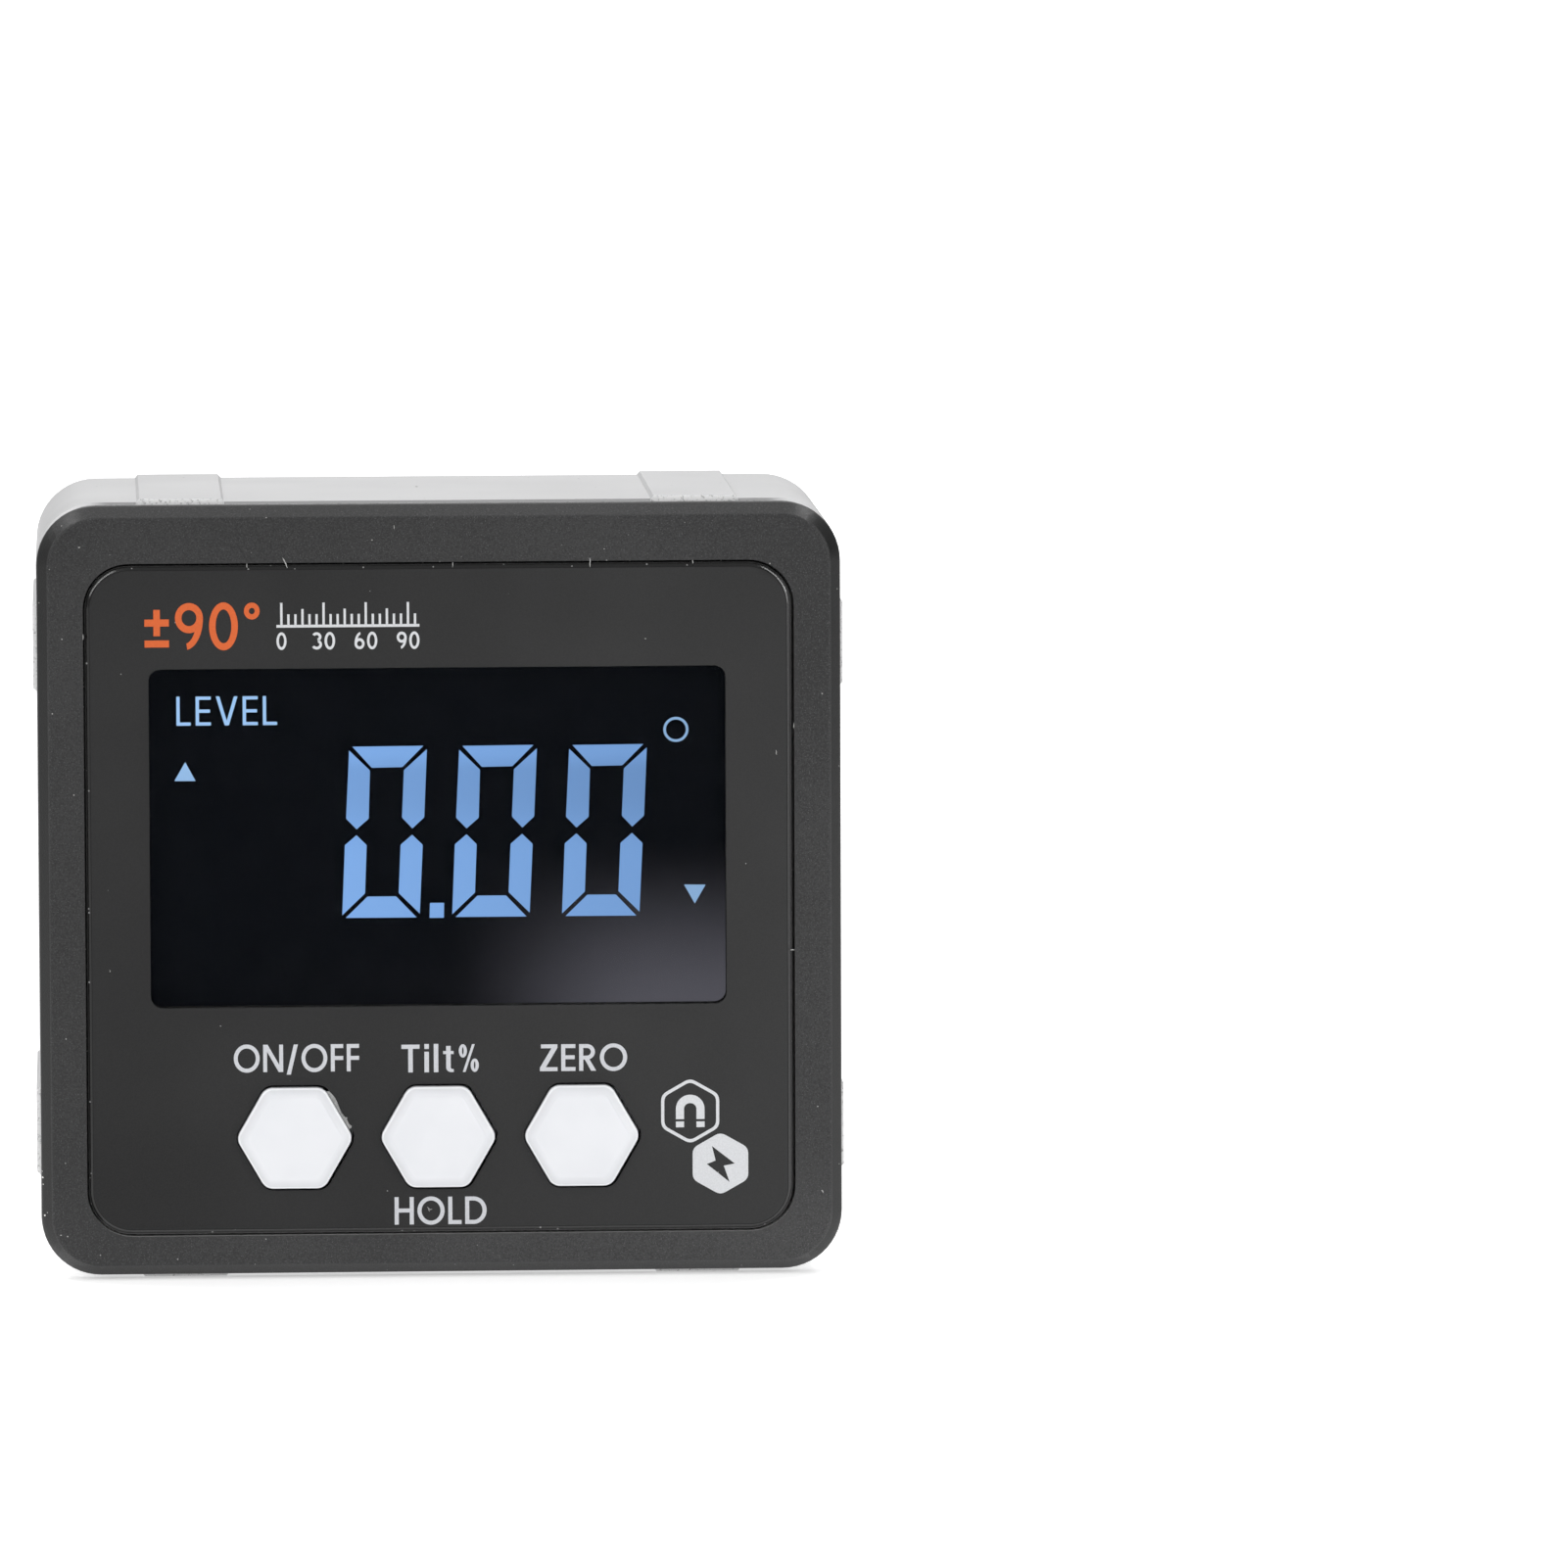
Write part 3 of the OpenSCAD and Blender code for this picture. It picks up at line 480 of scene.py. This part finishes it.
def shade_group(name, limit):
    """Joins the faces of a carried-over solid for shading, with edges over the limit kept sharp."""
    t = bpy.data.node_groups.new(name, "GeometryNodeTree")
    t.interface.new_socket("Geometry", in_out="INPUT", socket_type="NodeSocketGeometry")
    t.interface.new_socket("Geometry", in_out="OUTPUT", socket_type="NodeSocketGeometry")
    gi, go = t.nodes.new("NodeGroupInput"), t.nodes.new("NodeGroupOutput")
    merge = t.nodes.new("GeometryNodeMergeByDistance")
    merge.inputs["Distance"].default_value = 2e-7
    drop = t.nodes.new("GeometryNodeRemoveAttribute")
    drop.inputs["Name"].default_value = "custom_normal"
    angle = t.nodes.new("GeometryNodeInputMeshEdgeAngle")
    cmp = t.nodes.new("FunctionNodeCompare")
    cmp.data_type, cmp.operation = "FLOAT", "LESS_THAN"
    cmp.inputs[1].default_value = math.radians(limit)
    by_edge = t.nodes.new("GeometryNodeSetShadeSmooth")
    by_edge.domain = "EDGE"
    by_face = t.nodes.new("GeometryNodeSetShadeSmooth")
    by_face.domain = "FACE"
    t.links.new(gi.outputs[0], merge.inputs["Geometry"])
    t.links.new(merge.outputs[0], drop.inputs[0])
    t.links.new(angle.outputs["Unsigned Angle"], cmp.inputs[0])
    t.links.new(drop.outputs[0], by_face.inputs["Geometry"])
    t.links.new(by_face.outputs[0], by_edge.inputs["Geometry"])
    t.links.new(cmp.outputs[0], by_edge.inputs["Shade Smooth"])
    t.links.new(by_edge.outputs[0], go.inputs[0])
    return t


soft, crisp = shade_group("soft_shading", 34), shade_group("crisp_shading", 19)
slot_of = {s["node"]: s["material_slot"] for s in frame["record"]["subparts"]}
for name, o in nodes.items():
    look = slot_look[slot_of[name]].mat
    o.data.materials.clear()
    o.data.materials.append(look)
    gn = o.modifiers.new("soft_shading", "NODES")
    gn.node_group = crisp if name.startswith("key_") else soft
    wn = o.modifiers.new("even_normals", "WEIGHTED_NORMAL")
    wn.mode, wn.weight, wn.keep_sharp = "FACE_AREA", 80, True


# ---------------------------------------------------------------- flat printed and lit shapes
def arc(cx, cz, rx, rz, a0, a1, n):
    return [(cx + rx * math.cos(math.radians(a0 + (a1 - a0) * i / n)), cz + rz * math.sin(math.radians(a0 + (a1 - a0) * i / n))) for i in range(n + 1)]


def ring(cx, cz, rx, rz, w, n=56):
    return [arc(cx, cz, rx, rz, 0, 360, n)[:-1], arc(cx, cz, rx - w, rz - w, 0, 360, n)[:-1]]


def rect(x0, z0, x1, z1):
    return [[(x0, z0), (x1, z0), (x1, z1), (x0, z1)]]


def glyph(ch, w):
    """(advance, shapes) of one character at cap height 1 and stroke w; each shape is an outline and its holes."""
    if ch == "O":
        return 0.96, [ring(0.48, 0.5, 0.48, 0.515, w)]
    if ch == "0":
        return 0.66, [ring(0.33, 0.5, 0.33, 0.51, w)]
    if ch == "N":
        W = 0.74
        return W, [[[(0, 0), (w, 0), (w, 0.74), (W - w * 1.15, 0), (W, 0), (W, 1), (W - w, 1), (W - w, 0.26), (w * 1.15, 1), (0, 1)]]]
    if ch == "/":
        W = 0.42
        return W, [[[(0, -0.1), (w * 1.05, -0.1), (W, 1), (W - w * 1.05, 1)]]]
    if ch == "F":
        W = 0.46
        return W, [[[(0, 0), (w, 0), (w, 0.42), (W, 0.42), (W, 0.42 + w), (w, 0.42 + w), (w, 1 - w), (W, 1 - w), (W, 1), (0, 1)]]]
    if ch == "E":
        W = 0.50
        return W, [[[(0, 0), (W, 0), (W, w), (w, w), (w, 0.44), (W * 0.95, 0.44), (W * 0.95, 0.44 + w), (w, 0.44 + w), (w, 1 - w), (W, 1 - w), (W, 1), (0, 1)]]]
    if ch == "L":
        W = 0.47
        return W, [[[(0, 0), (W, 0), (W, w), (w, w), (w, 1), (0, 1)]]]
    if ch == "T":
        W = 0.60
        return W, [[[(W / 2 - w / 2, 0), (W / 2 + w / 2, 0), (W / 2 + w / 2, 1 - w), (W, 1 - w), (W, 1), (0, 1), (0, 1 - w), (W / 2 - w / 2, 1 - w)]]]
    if ch == "H":
        W = 0.68
        return W, [[[(0, 0), (w, 0), (w, 0.44), (W - w, 0.44), (W - w, 0), (W, 0), (W, 1), (W - w, 1), (W - w, 0.44 + w), (w, 0.44 + w), (w, 1), (0, 1)]]]
    if ch == "Z":
        W = 0.62
        return W, [[[(0, 0), (W, 0), (W, w), (w * 1.45, w), (W, 1 - w * 0.9), (W, 1), (0.04, 1), (0.04, 1 - w), (W - w * 1.45, 1 - w), (0, w * 0.9)]]]
    if ch == "V":
        W = 0.72
        return W, [[[(0, 1), (W / 2 - w * 0.62, 0), (W / 2 + w * 0.62, 0), (W, 1), (W - w * 1.08, 1), (W / 2, w * 1.45), (w * 1.08, 1)]]]
    if ch == "D":
        W, c = 0.76, 0.30
        outer = [(0, 0), (c, 0)] + arc(c, 0.5, W - c, 0.5, -90, 90, 28)[1:-1] + [(c, 1), (0, 1)]
        inner = [(w, w), (c, w)] + arc(c, 0.5, W - c - w, 0.5 - w, -90, 90, 28)[1:-1] + [(c, 1 - w), (w, 1 - w)]
        return W, [[outer, inner]]
    if ch == "R":
        W, c, zc, r = 0.60, 0.27, 0.71, 0.29
        outer = [(0, 0), (w, 0), (w, zc - r), (0.20, zc - r), (W - w * 1.25, 0), (W, 0), (0.36, zc - r + 0.012)] + arc(c, zc, W * 0.93 - c, r, -66, 90, 24) + [(0, 1)]
        inner = [(w, zc - r + w), (c, zc - r + w)] + arc(c, zc, W * 0.93 - c - w, r - w, -90, 90, 20)[1:-1] + [(c, 1 - w), (w, 1 - w)]
        return W, [[outer, inner]]
    if ch == "i":
        return w, [rect(0, 0, w, 0.74), rect(0, 0.84, w, 1.02)]
    if ch == "l":
        return w, [rect(0, 0, w, 1.02)]
    if ch == "t":
        a = 0.10
        foot = arc(a + w + 0.075, 0.17, 0.075, 0.065, 180, 270, 6)
        heel = arc(a + 0.17, 0.17, 0.17, 0.17, 270, 180, 8)
        return 0.36, [[[(a, 0.94), (a, 0.76), (0, 0.76), (0, 0.65), (a, 0.65)] + heel[::-1] + [(0.35, 0.0), (0.35, 0.105)] + foot[::-1] + [(a + w, 0.65), (0.35, 0.65), (0.35, 0.76), (a + w, 0.76), (a + w, 0.94)]]]
    if ch == "%":
        return 0.66, [ring(0.135, 0.76, 0.135, 0.24, w * 0.72, 32), ring(0.525, 0.24, 0.135, 0.24, w * 0.72, 32), [[(0.13, 0), (0.22, 0), (0.53, 1), (0.44, 1)]]]
    if ch == "+":
        return 0.56, [[[(0.28 - w / 2, 0.30), (0.28 + w / 2, 0.30), (0.28 + w / 2, 0.58 - w / 2), (0.56, 0.58 - w / 2), (0.56, 0.58 + w / 2), (0.28 + w / 2, 0.58 + w / 2), (0.28 + w / 2, 0.86), (0.28 - w / 2, 0.86), (0.28 - w / 2, 0.58 + w / 2), (0, 0.58 + w / 2), (0, 0.58 - w / 2), (0.28 - w / 2, 0.58 - w / 2)]], rect(0, 0.06, 0.56, 0.06 + w)]
    if ch == "9" or ch == "6":
        # a round bowl whose right side runs on into a tail, drawn as one outline with one hole
        W, cx, cz, R, a, b = 0.64, 0.32, 0.68, 0.32, 0.42, 0.68
        on_tail = lambda ang: (W - a + (a - w) * math.cos(math.radians(ang)), cz + (b - w * 0.9) * math.sin(math.radians(ang)))
        lo_a, hi_a = -82.0, -5.0
        for _ in range(40):
            mid_a = 0.5 * (lo_a + hi_a)
            px, pz = on_tail(mid_a)
            if math.hypot(px - cx, pz - cz) > R:
                lo_a = mid_a
            else:
                hi_a = mid_a
        px, pz = on_tail(lo_a)
        meet = math.degrees(math.atan2(pz - cz, px - cx)) % 360.0
        outer = arc(cx, cz, R, R, 0, meet, 40) + [on_tail(lo_a + (-82.0 - lo_a) * k / 12) for k in range(1, 13)] + arc(W - a, cz, a, b, -82, -4, 18)
        hole = arc(cx, cz, R - w, R - w, 0, 360, 40)[:-1]
        if ch == "6":
            outer, hole = [(W - x, 1.0 - z) for x, z in outer], [(W - x, 1.0 - z) for x, z in hole]
        return W, [[outer, hole]]
    if ch == "3":
        W = 0.60
        up3 = arc(0.27, 0.735, 0.30, 0.265, 150, -78, 26) + arc(0.27, 0.735, 0.30 - w, 0.265 - w, -70, 150, 22)
        lo3 = arc(0.27, 0.29, 0.33, 0.29, 74, -150, 28) + arc(0.27, 0.29, 0.33 - w, 0.29 - w, -150, 66, 24)
        return W, [[up3], [lo3]]
    if ch == "d":
        return 0.36, [ring(0.18, 0.82, 0.18, 0.18, w * 0.75, 36)]
    raise ValueError(ch)


def words(text, x0, x1, z0, cap, w, gap):
    """Shapes for a line of text squeezed to lie between x0 and x1, standing on z0."""
    placed, at = [], 0.0
    for ch in text:
        if ch == " ":
            at += 0.3
            continue
        adv, shapes = glyph(ch, w)
        placed += [[[(at + p[0], p[1]) for p in loop] for loop in s] for s in shapes]
        at += adv + gap
    k = (x1 - x0) / (at - gap)
    return [[[(x0 + p[0] * k, z0 + p[1] * cap) for p in loop] for loop in s] for s in placed]


def area(loop):
    return 0.5 * sum(loop[i - 1][0] * loop[i][1] - loop[i][0] * loop[i - 1][1] for i in range(len(loop)))


def flat_piece(name, shapes, y_front, thick, graph, body="case"):
    """Thin closed prisms in front view; x and z are CAD millimetres, y_front is the face nearest the viewer."""
    bm = bmesh.new()
    for shape in shapes:
        edges = []
        for loop in shape:
            vs = [bm.verts.new((x * MM, y_front * MM, z * MM)) for x, z in loop]
            edges += [bm.edges.new((vs[i - 1], vs[i])) for i in range(len(vs))]
        res = bmesh.ops.triangle_fill(bm, use_beauty=True, use_dissolve=False, edges=edges, normal=(0, -1, 0))
        faces = [f for f in res["geom"] if isinstance(f, bmesh.types.BMFace)]
        for f in faces:
            f.normal_update()
            if f.normal.y > 0:
                f.normal_flip()
        ext = bmesh.ops.extrude_face_region(bm, geom=faces, use_keep_orig=True)
        moved = [v for v in ext["geom"] if isinstance(v, bmesh.types.BMVert)]
        bmesh.ops.translate(bm, verts=moved, vec=(0, thick * MM, 0))
    bmesh.ops.recalc_face_normals(bm, faces=bm.faces)
    mesh = bpy.data.meshes.new(name)
    bm.to_mesh(mesh)
    bm.free()
    o = bpy.data.objects.new(name, mesh)
    scene.collection.objects.link(o)
    mesh.materials.append(graph.mat)
    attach(o, body)
    return o


def up_by(shapes, dz):
    return [[[(x, z + dz) for x, z in loop] for loop in s] for s in shapes]


def hexagon(cx, cz, w, h, r, n=4):
    """Point-up hexagon w by h with rounded corners."""
    pts = []
    corners = [(0, h / 2), (-w / 2, h / 4), (-w / 2, -h / 4), (0, -h / 2), (w / 2, -h / 4), (w / 2, h / 4)]
    for i, (x, z) in enumerate(corners):
        px, pz = corners[i - 1]
        nx, nz = corners[(i + 1) % 6]
        la, lb = math.hypot(px - x, pz - z), math.hypot(nx - x, nz - z)
        a = (x + (px - x) / la * r, z + (pz - z) / la * r)
        b = (x + (nx - x) / lb * r, z + (nz - z) / lb * r)
        for j in range(n + 1):
            t = j / n
            pts.append((cx + (1 - t) ** 2 * a[0] + 2 * t * (1 - t) * x + t * t * b[0], cz + (1 - t) ** 2 * a[1] + 2 * t * (1 - t) * z + t * t * b[1]))
    return pts


ink = print_ink("legend_ink_look", (0.60, 0.61, 0.64))
pale = print_ink("icon_ink_look", (0.67, 0.68, 0.70))
orange = print_ink("range_ink_look", (0.67, 0.132, 0.037), 0.10)
PRINT_Y = FACE_Y + PANEL_S - 0.02

legend = []
legend += words("ON/OFF", -14.99, -5.94, 14.80, 1.99, 0.145, 0.13)
legend += words("Tilt%", -2.88, 2.71, 14.68, 2.02, 0.15, 0.16)
legend += words("ZERO", 7.13, 13.45, 14.68, 1.95, 0.145, 0.13)
legend += words("HOLD", -3.44, 3.22, 3.60, 2.00, 0.145, 0.13)
flat_piece("key_legends", up_by(legend, ZB), PRINT_Y, 0.025, ink)

icons = [[hexagon(18.00, 11.68, 4.21, 4.80, 0.45), hexagon(18.00, 11.68, 4.21 - 0.46, 4.80 - 0.53, 0.36)]]
mx = 18.0
icons += [[arc(mx, 11.83, 1.04, 1.04, 0, 180, 28) + [(mx - 1.04, 11.09), (mx - 0.45, 11.09)] + arc(mx, 11.83, 0.45, 0.43, 180, 0, 20) + [(mx + 0.45, 11.09), (mx + 1.04, 11.09)]]]
icons += [rect(mx - 1.04, 10.50, mx - 0.45, 10.92), rect(mx + 0.45, 10.50, mx + 1.04, 10.92)]
bolt = [(19.57, 9.11), (21.22, 7.82), (20.42, 7.67), (20.84, 6.47), (19.19, 7.80), (19.83, 8.05)]
icons += [[hexagon(20.18, 7.83, 4.03, 4.57, 0.42), bolt]]
flat_piece("front_icons", up_by(icons, ZB), PRINT_Y, 0.025, pale)

# generic measuring range and a plain tick scale in the upper left corner
rng = words("+90d", -21.2, -12.9, 45.45, 3.40, 0.15, 0.14)
flat_piece("range_mark", up_by(rng, ZB), PRINT_Y, 0.025, orange)
ticks = [rect(-11.7, 47.02, -1.4, 47.22)]
for i in range(20):
    x = -11.34 + i * (9.12 / 18)
    tall = 1.55 if i % 6 == 0 else (1.1 if i % 3 == 0 else 0.72)
    ticks += [rect(x - 0.085, 47.2, x + 0.085, 47.26 + tall)]
for i, text in enumerate(("0", "30", "60", "90")):
    x = -11.34 + i * (9.12 / 3)
    wide = 0.36 * len(text) + 0.10 * (len(text) - 1)
    ticks += words(text, x - wide, x + wide, 45.42, 1.25, 0.16, 0.16)
flat_piece("tick_scale", up_by(ticks, ZB), PRINT_Y, 0.025, pale)

# lint on the front face: short fibres and specks, given as a path and a width in millimetres
def fibre(path, w):
    left, right = [], []
    for i, (x, z) in enumerate(path):
        (ax, az), (bx, bz) = path[max(i - 1, 0)], path[min(i + 1, len(path) - 1)]
        n = math.hypot(bx - ax, bz - az)
        k = 0.5 * w * (0.45 if i in (0, len(path) - 1) else 1.0) / n
        left.append((x - (bz - az) * k, z + (bx - ax) * k))
        right.append((x + (bz - az) * k, z - (bx - ax) * k))
    return [left + right[::-1]]


lint_look = print_ink("lint_look", (0.52, 0.52, 0.51), 0.35)
on_bezel = [
    fibre([(-11.22, 52.42), (-11.10, 52.20), (-10.98, 51.96), (-10.90, 51.68)], 0.075),
    fibre([(-13.80, 52.02), (-13.81, 51.86), (-13.79, 51.72)], 0.06),
    fibre([(-3.20, 54.72), (-3.18, 54.56), (-3.20, 54.44)], 0.055),
    fibre([(1.02, 52.02), (1.03, 51.88), (1.01, 51.66)], 0.06),
    fibre([(10.90, 52.26), (10.93, 52.05), (10.91, 51.80), (10.92, 51.60)], 0.06),
    fibre([(18.32, 52.06), (18.34, 51.92), (18.33, 51.78)], 0.06),
    fibre([(-25.92, 53.28), (-25.84, 53.27), (-25.77, 53.29)], 0.08),
    fibre([(27.50, 6.18), (27.56, 6.13), (27.61, 6.05), (27.60, 5.98)], 0.075),
    fibre([(11.91, 52.90), (11.96, 52.91), (12.00, 52.90)], 0.06),
    fibre([(25.30, 23.70), (25.45, 23.72), (25.60, 23.70)], 0.07),
    fibre([(-27.62, 3.44), (-27.56, 3.42), (-27.51, 3.43)], 0.07),
    fibre([(-25.62, 47.0), (-25.60, 46.8), (-25.62, 46.62)], 0.05),
    fibre([(25.58, 40.2), (25.60, 40.02), (25.57, 39.8)], 0.05),
]
flat_piece("lint_on_bezel", up_by(on_bezel, ZB - 0.35), FACE_Y - 0.012, 0.012, lint_look)
on_panel = [
    fibre([(24.30, 38.22), (24.34, 38.10), (24.31, 37.98), (24.36, 37.90)], 0.055),
    fibre([(14.84, 46.40), (14.90, 46.37), (14.96, 46.38)], 0.05),
    fibre([(-1.06, 5.22), (-0.98, 5.10), (-0.86, 5.02), (-0.72, 5.06)], 0.05),
    fibre([(-0.98, 5.10), (-0.96, 4.98), (-0.90, 4.90)], 0.05),
    fibre([(-23.90, 22.66), (-23.86, 22.60), (-23.88, 22.52)], 0.05),
]
flat_piece("lint_on_panel", up_by(on_panel, ZB - 0.35), PRINT_Y - 0.012, 0.012, lint_look)
# torn moulding flash beside the first key's upper right edge, clear of the key's outline
flash = [[
    (-8.29, 13.38), (-8.11, 13.36), (-7.90, 13.14), (-7.69, 12.87), (-7.54, 12.56), (-7.44, 12.28),
    (-7.31, 11.94), (-7.18, 11.69), (-6.95, 11.45), (-6.83, 11.46), (-6.85, 11.29), (-6.71, 11.00),
    (-6.50, 10.81), (-6.54, 10.68), (-6.70, 10.59), (-8.31, 13.37),
]]
flash_look = print_ink("flash_look", (0.42, 0.42, 0.415), 0.35)
flat_piece("key_flash", up_by([flash], ZB), PRINT_Y - 0.012, 0.012, flash_look)

# lit display: traced back along the viewer's rays from just behind the panel to the display glass
blue = lit("display_segment_look", (0.276, 0.522, 0.965), (0.262, 0.504, 0.950), 1.0)
bright = lit("display_word_look", (0.38, 0.63, 0.97), (0.41, 0.67, 1.0), 1.0)
K = (LCD_S - 0.03 + 966.3937) / (1.5 + 966.3937)


def on_glass(shapes):
    return [[[(-25.2295 + (x + 25.2295) * K, 129.0016 + (z - 129.0016) * K + 0.014 + ZB) for x, z in loop] for loop in s] for s in shapes]


digit = [
    [(-6.26, 38.23), (-1.13, 38.26), (-2.66, 36.72), (-4.87, 36.69)],
    [(-6.50, 37.96), (-5.00, 36.49), (-5.11, 33.00), (-5.99, 32.23), (-6.75, 33.01)],
    [(-0.88, 38.01), (-1.10, 33.06), (-1.96, 32.26), (-2.71, 33.06), (-2.55, 36.50)],
    [(-6.00, 31.81), (-5.27, 31.08), (-5.41, 27.57), (-7.07, 25.99), (-6.85, 31.09)],
    [(-1.98, 31.81), (-1.22, 31.07), (-1.46, 26.07), (-2.98, 27.58), (-2.82, 31.09)],
    [(-6.82, 25.80), (-1.69, 25.79), (-3.17, 27.34), (-5.23, 27.34)],
]
segments = []
for k in range(3):
    segments += [[[(x + 7.95 * k, z) for x, z in s]] for s in digit]
segments += [[[(-0.76, 25.75), (0.28, 25.75), (0.30, 26.84), (-0.72, 26.84)]]]
marks = [[[(-18.33, 37.21), (-19.12, 35.84), (-17.59, 35.83)]], [[(17.67, 28.02), (19.24, 28.00), (18.45, 26.63)]]]
marks += [ring(17.13, 39.30, 0.91, 0.91, 0.19, 44)]
marks += words("LEVEL", -18.94, -11.68, 39.85, 2.10, 0.112, 0.165)
flat_piece("display_segments", on_glass(segments), FACE_Y + LCD_S - 0.03, 0.035, blue)
flat_piece("display_marks", on_glass(marks), FACE_Y + LCD_S - 0.03, 0.035, bright)

# ---------------------------------------------------------------- stage and light
floor_g = Graph("studio_floor_look")
fn = floor_g.noise(0.004, 2.0, 0.5)
fx, fy, fz = floor_g.xyz()
wedge = floor_g.math("SUBTRACT", fx, floor_g.math("MULTIPLY", fy, 0.115))
# the floor's tone eases off far to the left and right of the part
far = floor_g.math("MULTIPLY", floor_g.math("MAXIMUM", floor_g.ramp(wedge, 150.0, 420.0), floor_g.ramp(fx, -110.0, -380.0)), floor_g.ramp(fy, -60.0, 60.0))
floor_g.set(Base_Color=floor_g.mix(far, floor_g.mix(fn, (0.88, 0.88, 0.88), (0.91, 0.91, 0.91)), (0.62, 0.62, 0.62)), Roughness=0.8, Specular_IOR_Level=0.05)
strip = floor_g.math("MULTIPLY", floor_g.ramp(fx, -420.0, -130.0), floor_g.ramp(wedge, 420.0, 130.0))
glow = floor_g.math("ADD", floor_g.math("ADD", floor_g.ramp(fy, -260.0, -110.0, 0.0, 0.14), floor_g.ramp(fy, -80.0, -40.0, 0.0, 0.26)), floor_g.math("ADD", floor_g.ramp(fy, 0.0, 700.0, 0.0, 0.30), floor_g.ramp(fy, 700.0, 2500.0, 0.0, 0.14)))
floor_g.set(Emission_Color=floor_g.mix(floor_g.math("MULTIPLY", glow, strip), (0.0, 0.0, 0.0), (1.0, 1.0, 1.0)), Emission_Strength=1.0)
see = floor_g.add("ShaderNodeBsdfTransparent")
side = floor_g.add("ShaderNodeNewGeometry")
mixer = floor_g.add("ShaderNodeMixShader")
floor_g.put(mixer.inputs[0], side.outputs["Backfacing"])
floor_g.nt.links.new(floor_g.bsdf.outputs[0], mixer.inputs[1])
floor_g.nt.links.new(see.outputs[0], mixer.inputs[2])
floor_g.nt.links.new(mixer.outputs[0], floor_g.out.inputs[0])
bm = bmesh.new()
bm.faces.new([bm.verts.new((x, y, -0.00002)) for x, y in ((-4.0, -4.0), (4.0, -4.0), (4.0, 8.0), (-4.0, 8.0))])
mesh = bpy.data.meshes.new("studio_floor")
bm.to_mesh(mesh)
bm.free()
for p in mesh.polygons:
    p.use_smooth = True
mesh.materials.append(floor_g.mat)
floor = bpy.data.objects.new("studio_floor", mesh)
scene.collection.objects.link(floor)

world = bpy.data.worlds.new("studio_world")
scene.world = world
world.use_nodes = True
bg = world.node_tree.nodes["Background"]
bg.inputs[0].default_value = (1.0, 1.0, 1.0, 1.0)
sky = world.node_tree.nodes.new("ShaderNodeTexCoord")
part = world.node_tree.nodes.new("ShaderNodeSeparateXYZ")
rise = world.node_tree.nodes.new("ShaderNodeMapRange")
rise.interpolation_type = "SMOOTHSTEP"
for i, v in ((1, 0.0), (2, 0.8), (3, 0.195), (4, 0.586)):
    rise.inputs[i].default_value = v
world.node_tree.links.new(sky.outputs["Generated"], part.inputs[0])
world.node_tree.links.new(part.outputs[2], rise.inputs[0])
# the room is lighter on the left
lean = world.node_tree.nodes.new("ShaderNodeMapRange")
for i, v in ((1, -1.0), (2, 0.0), (3, 2.6), (4, 1.0)):
    lean.inputs[i].default_value = v
both = world.node_tree.nodes.new("ShaderNodeMath")
both.operation = "MULTIPLY"
world.node_tree.links.new(part.outputs[0], lean.inputs[0])
world.node_tree.links.new(rise.outputs[0], both.inputs[0])
world.node_tree.links.new(lean.outputs[0], both.inputs[1])
world.node_tree.links.new(both.outputs[0], bg.inputs[1])


def softbox(name, pos, target, size, radiance, along=None):
    d = bpy.data.lights.new(name, "AREA")
    d.shape = "RECTANGLE"
    d.size, d.size_y = size
    d.energy = radiance * math.pi * size[0] * size[1]
    o = bpy.data.objects.new(name, d)
    o.location = pos
    o.rotation_mode = "QUATERNION"
    o.rotation_quaternion = (Vector(target) - Vector(pos)).to_track_quat("-Z", "Y")
    if along is not None:
        n = (Vector(pos) - Vector(target)).normalized()
        x = (Vector(along) - Vector(along).dot(n) * n).normalized()
        o.rotation_quaternion = Matrix((x, n.cross(x), n)).transposed().to_quaternion()
    scene.collection.objects.link(o)
    return o


mid = (0.0, 0.0, 0.03)
softbox("left_box", (-0.75, -0.94, 0.70), mid, (1.0, 0.085), 10.5, along=(-0.495, 0.023, -0.51))
softbox("right_box", (0.86, -0.88, 0.69), mid, (1.0, 0.085), 13.0, along=(0.464, 0.072, -0.51))
softbox("side_box", (0.62, -0.52, 0.14), mid, (0.14, 0.24), 5.0)
softbox("rim_box", (0.50, 0.38, 0.85), mid, (0.2, 0.2), 14.0)
softbox("rim_box_left", (-0.52, 0.25, 0.93), mid, (0.2, 0.2), 12.0)
softbox("front_box", (-0.1, -1.30, 0.75), mid, (0.9, 0.5), 0.6)
softbox("top_box", (0.1, 0.10, 1.1), mid, (0.8, 0.5), 0.75)
softbox("back_box", (0.2, 0.95, 0.55), mid, (0.9, 0.5), 0.7)
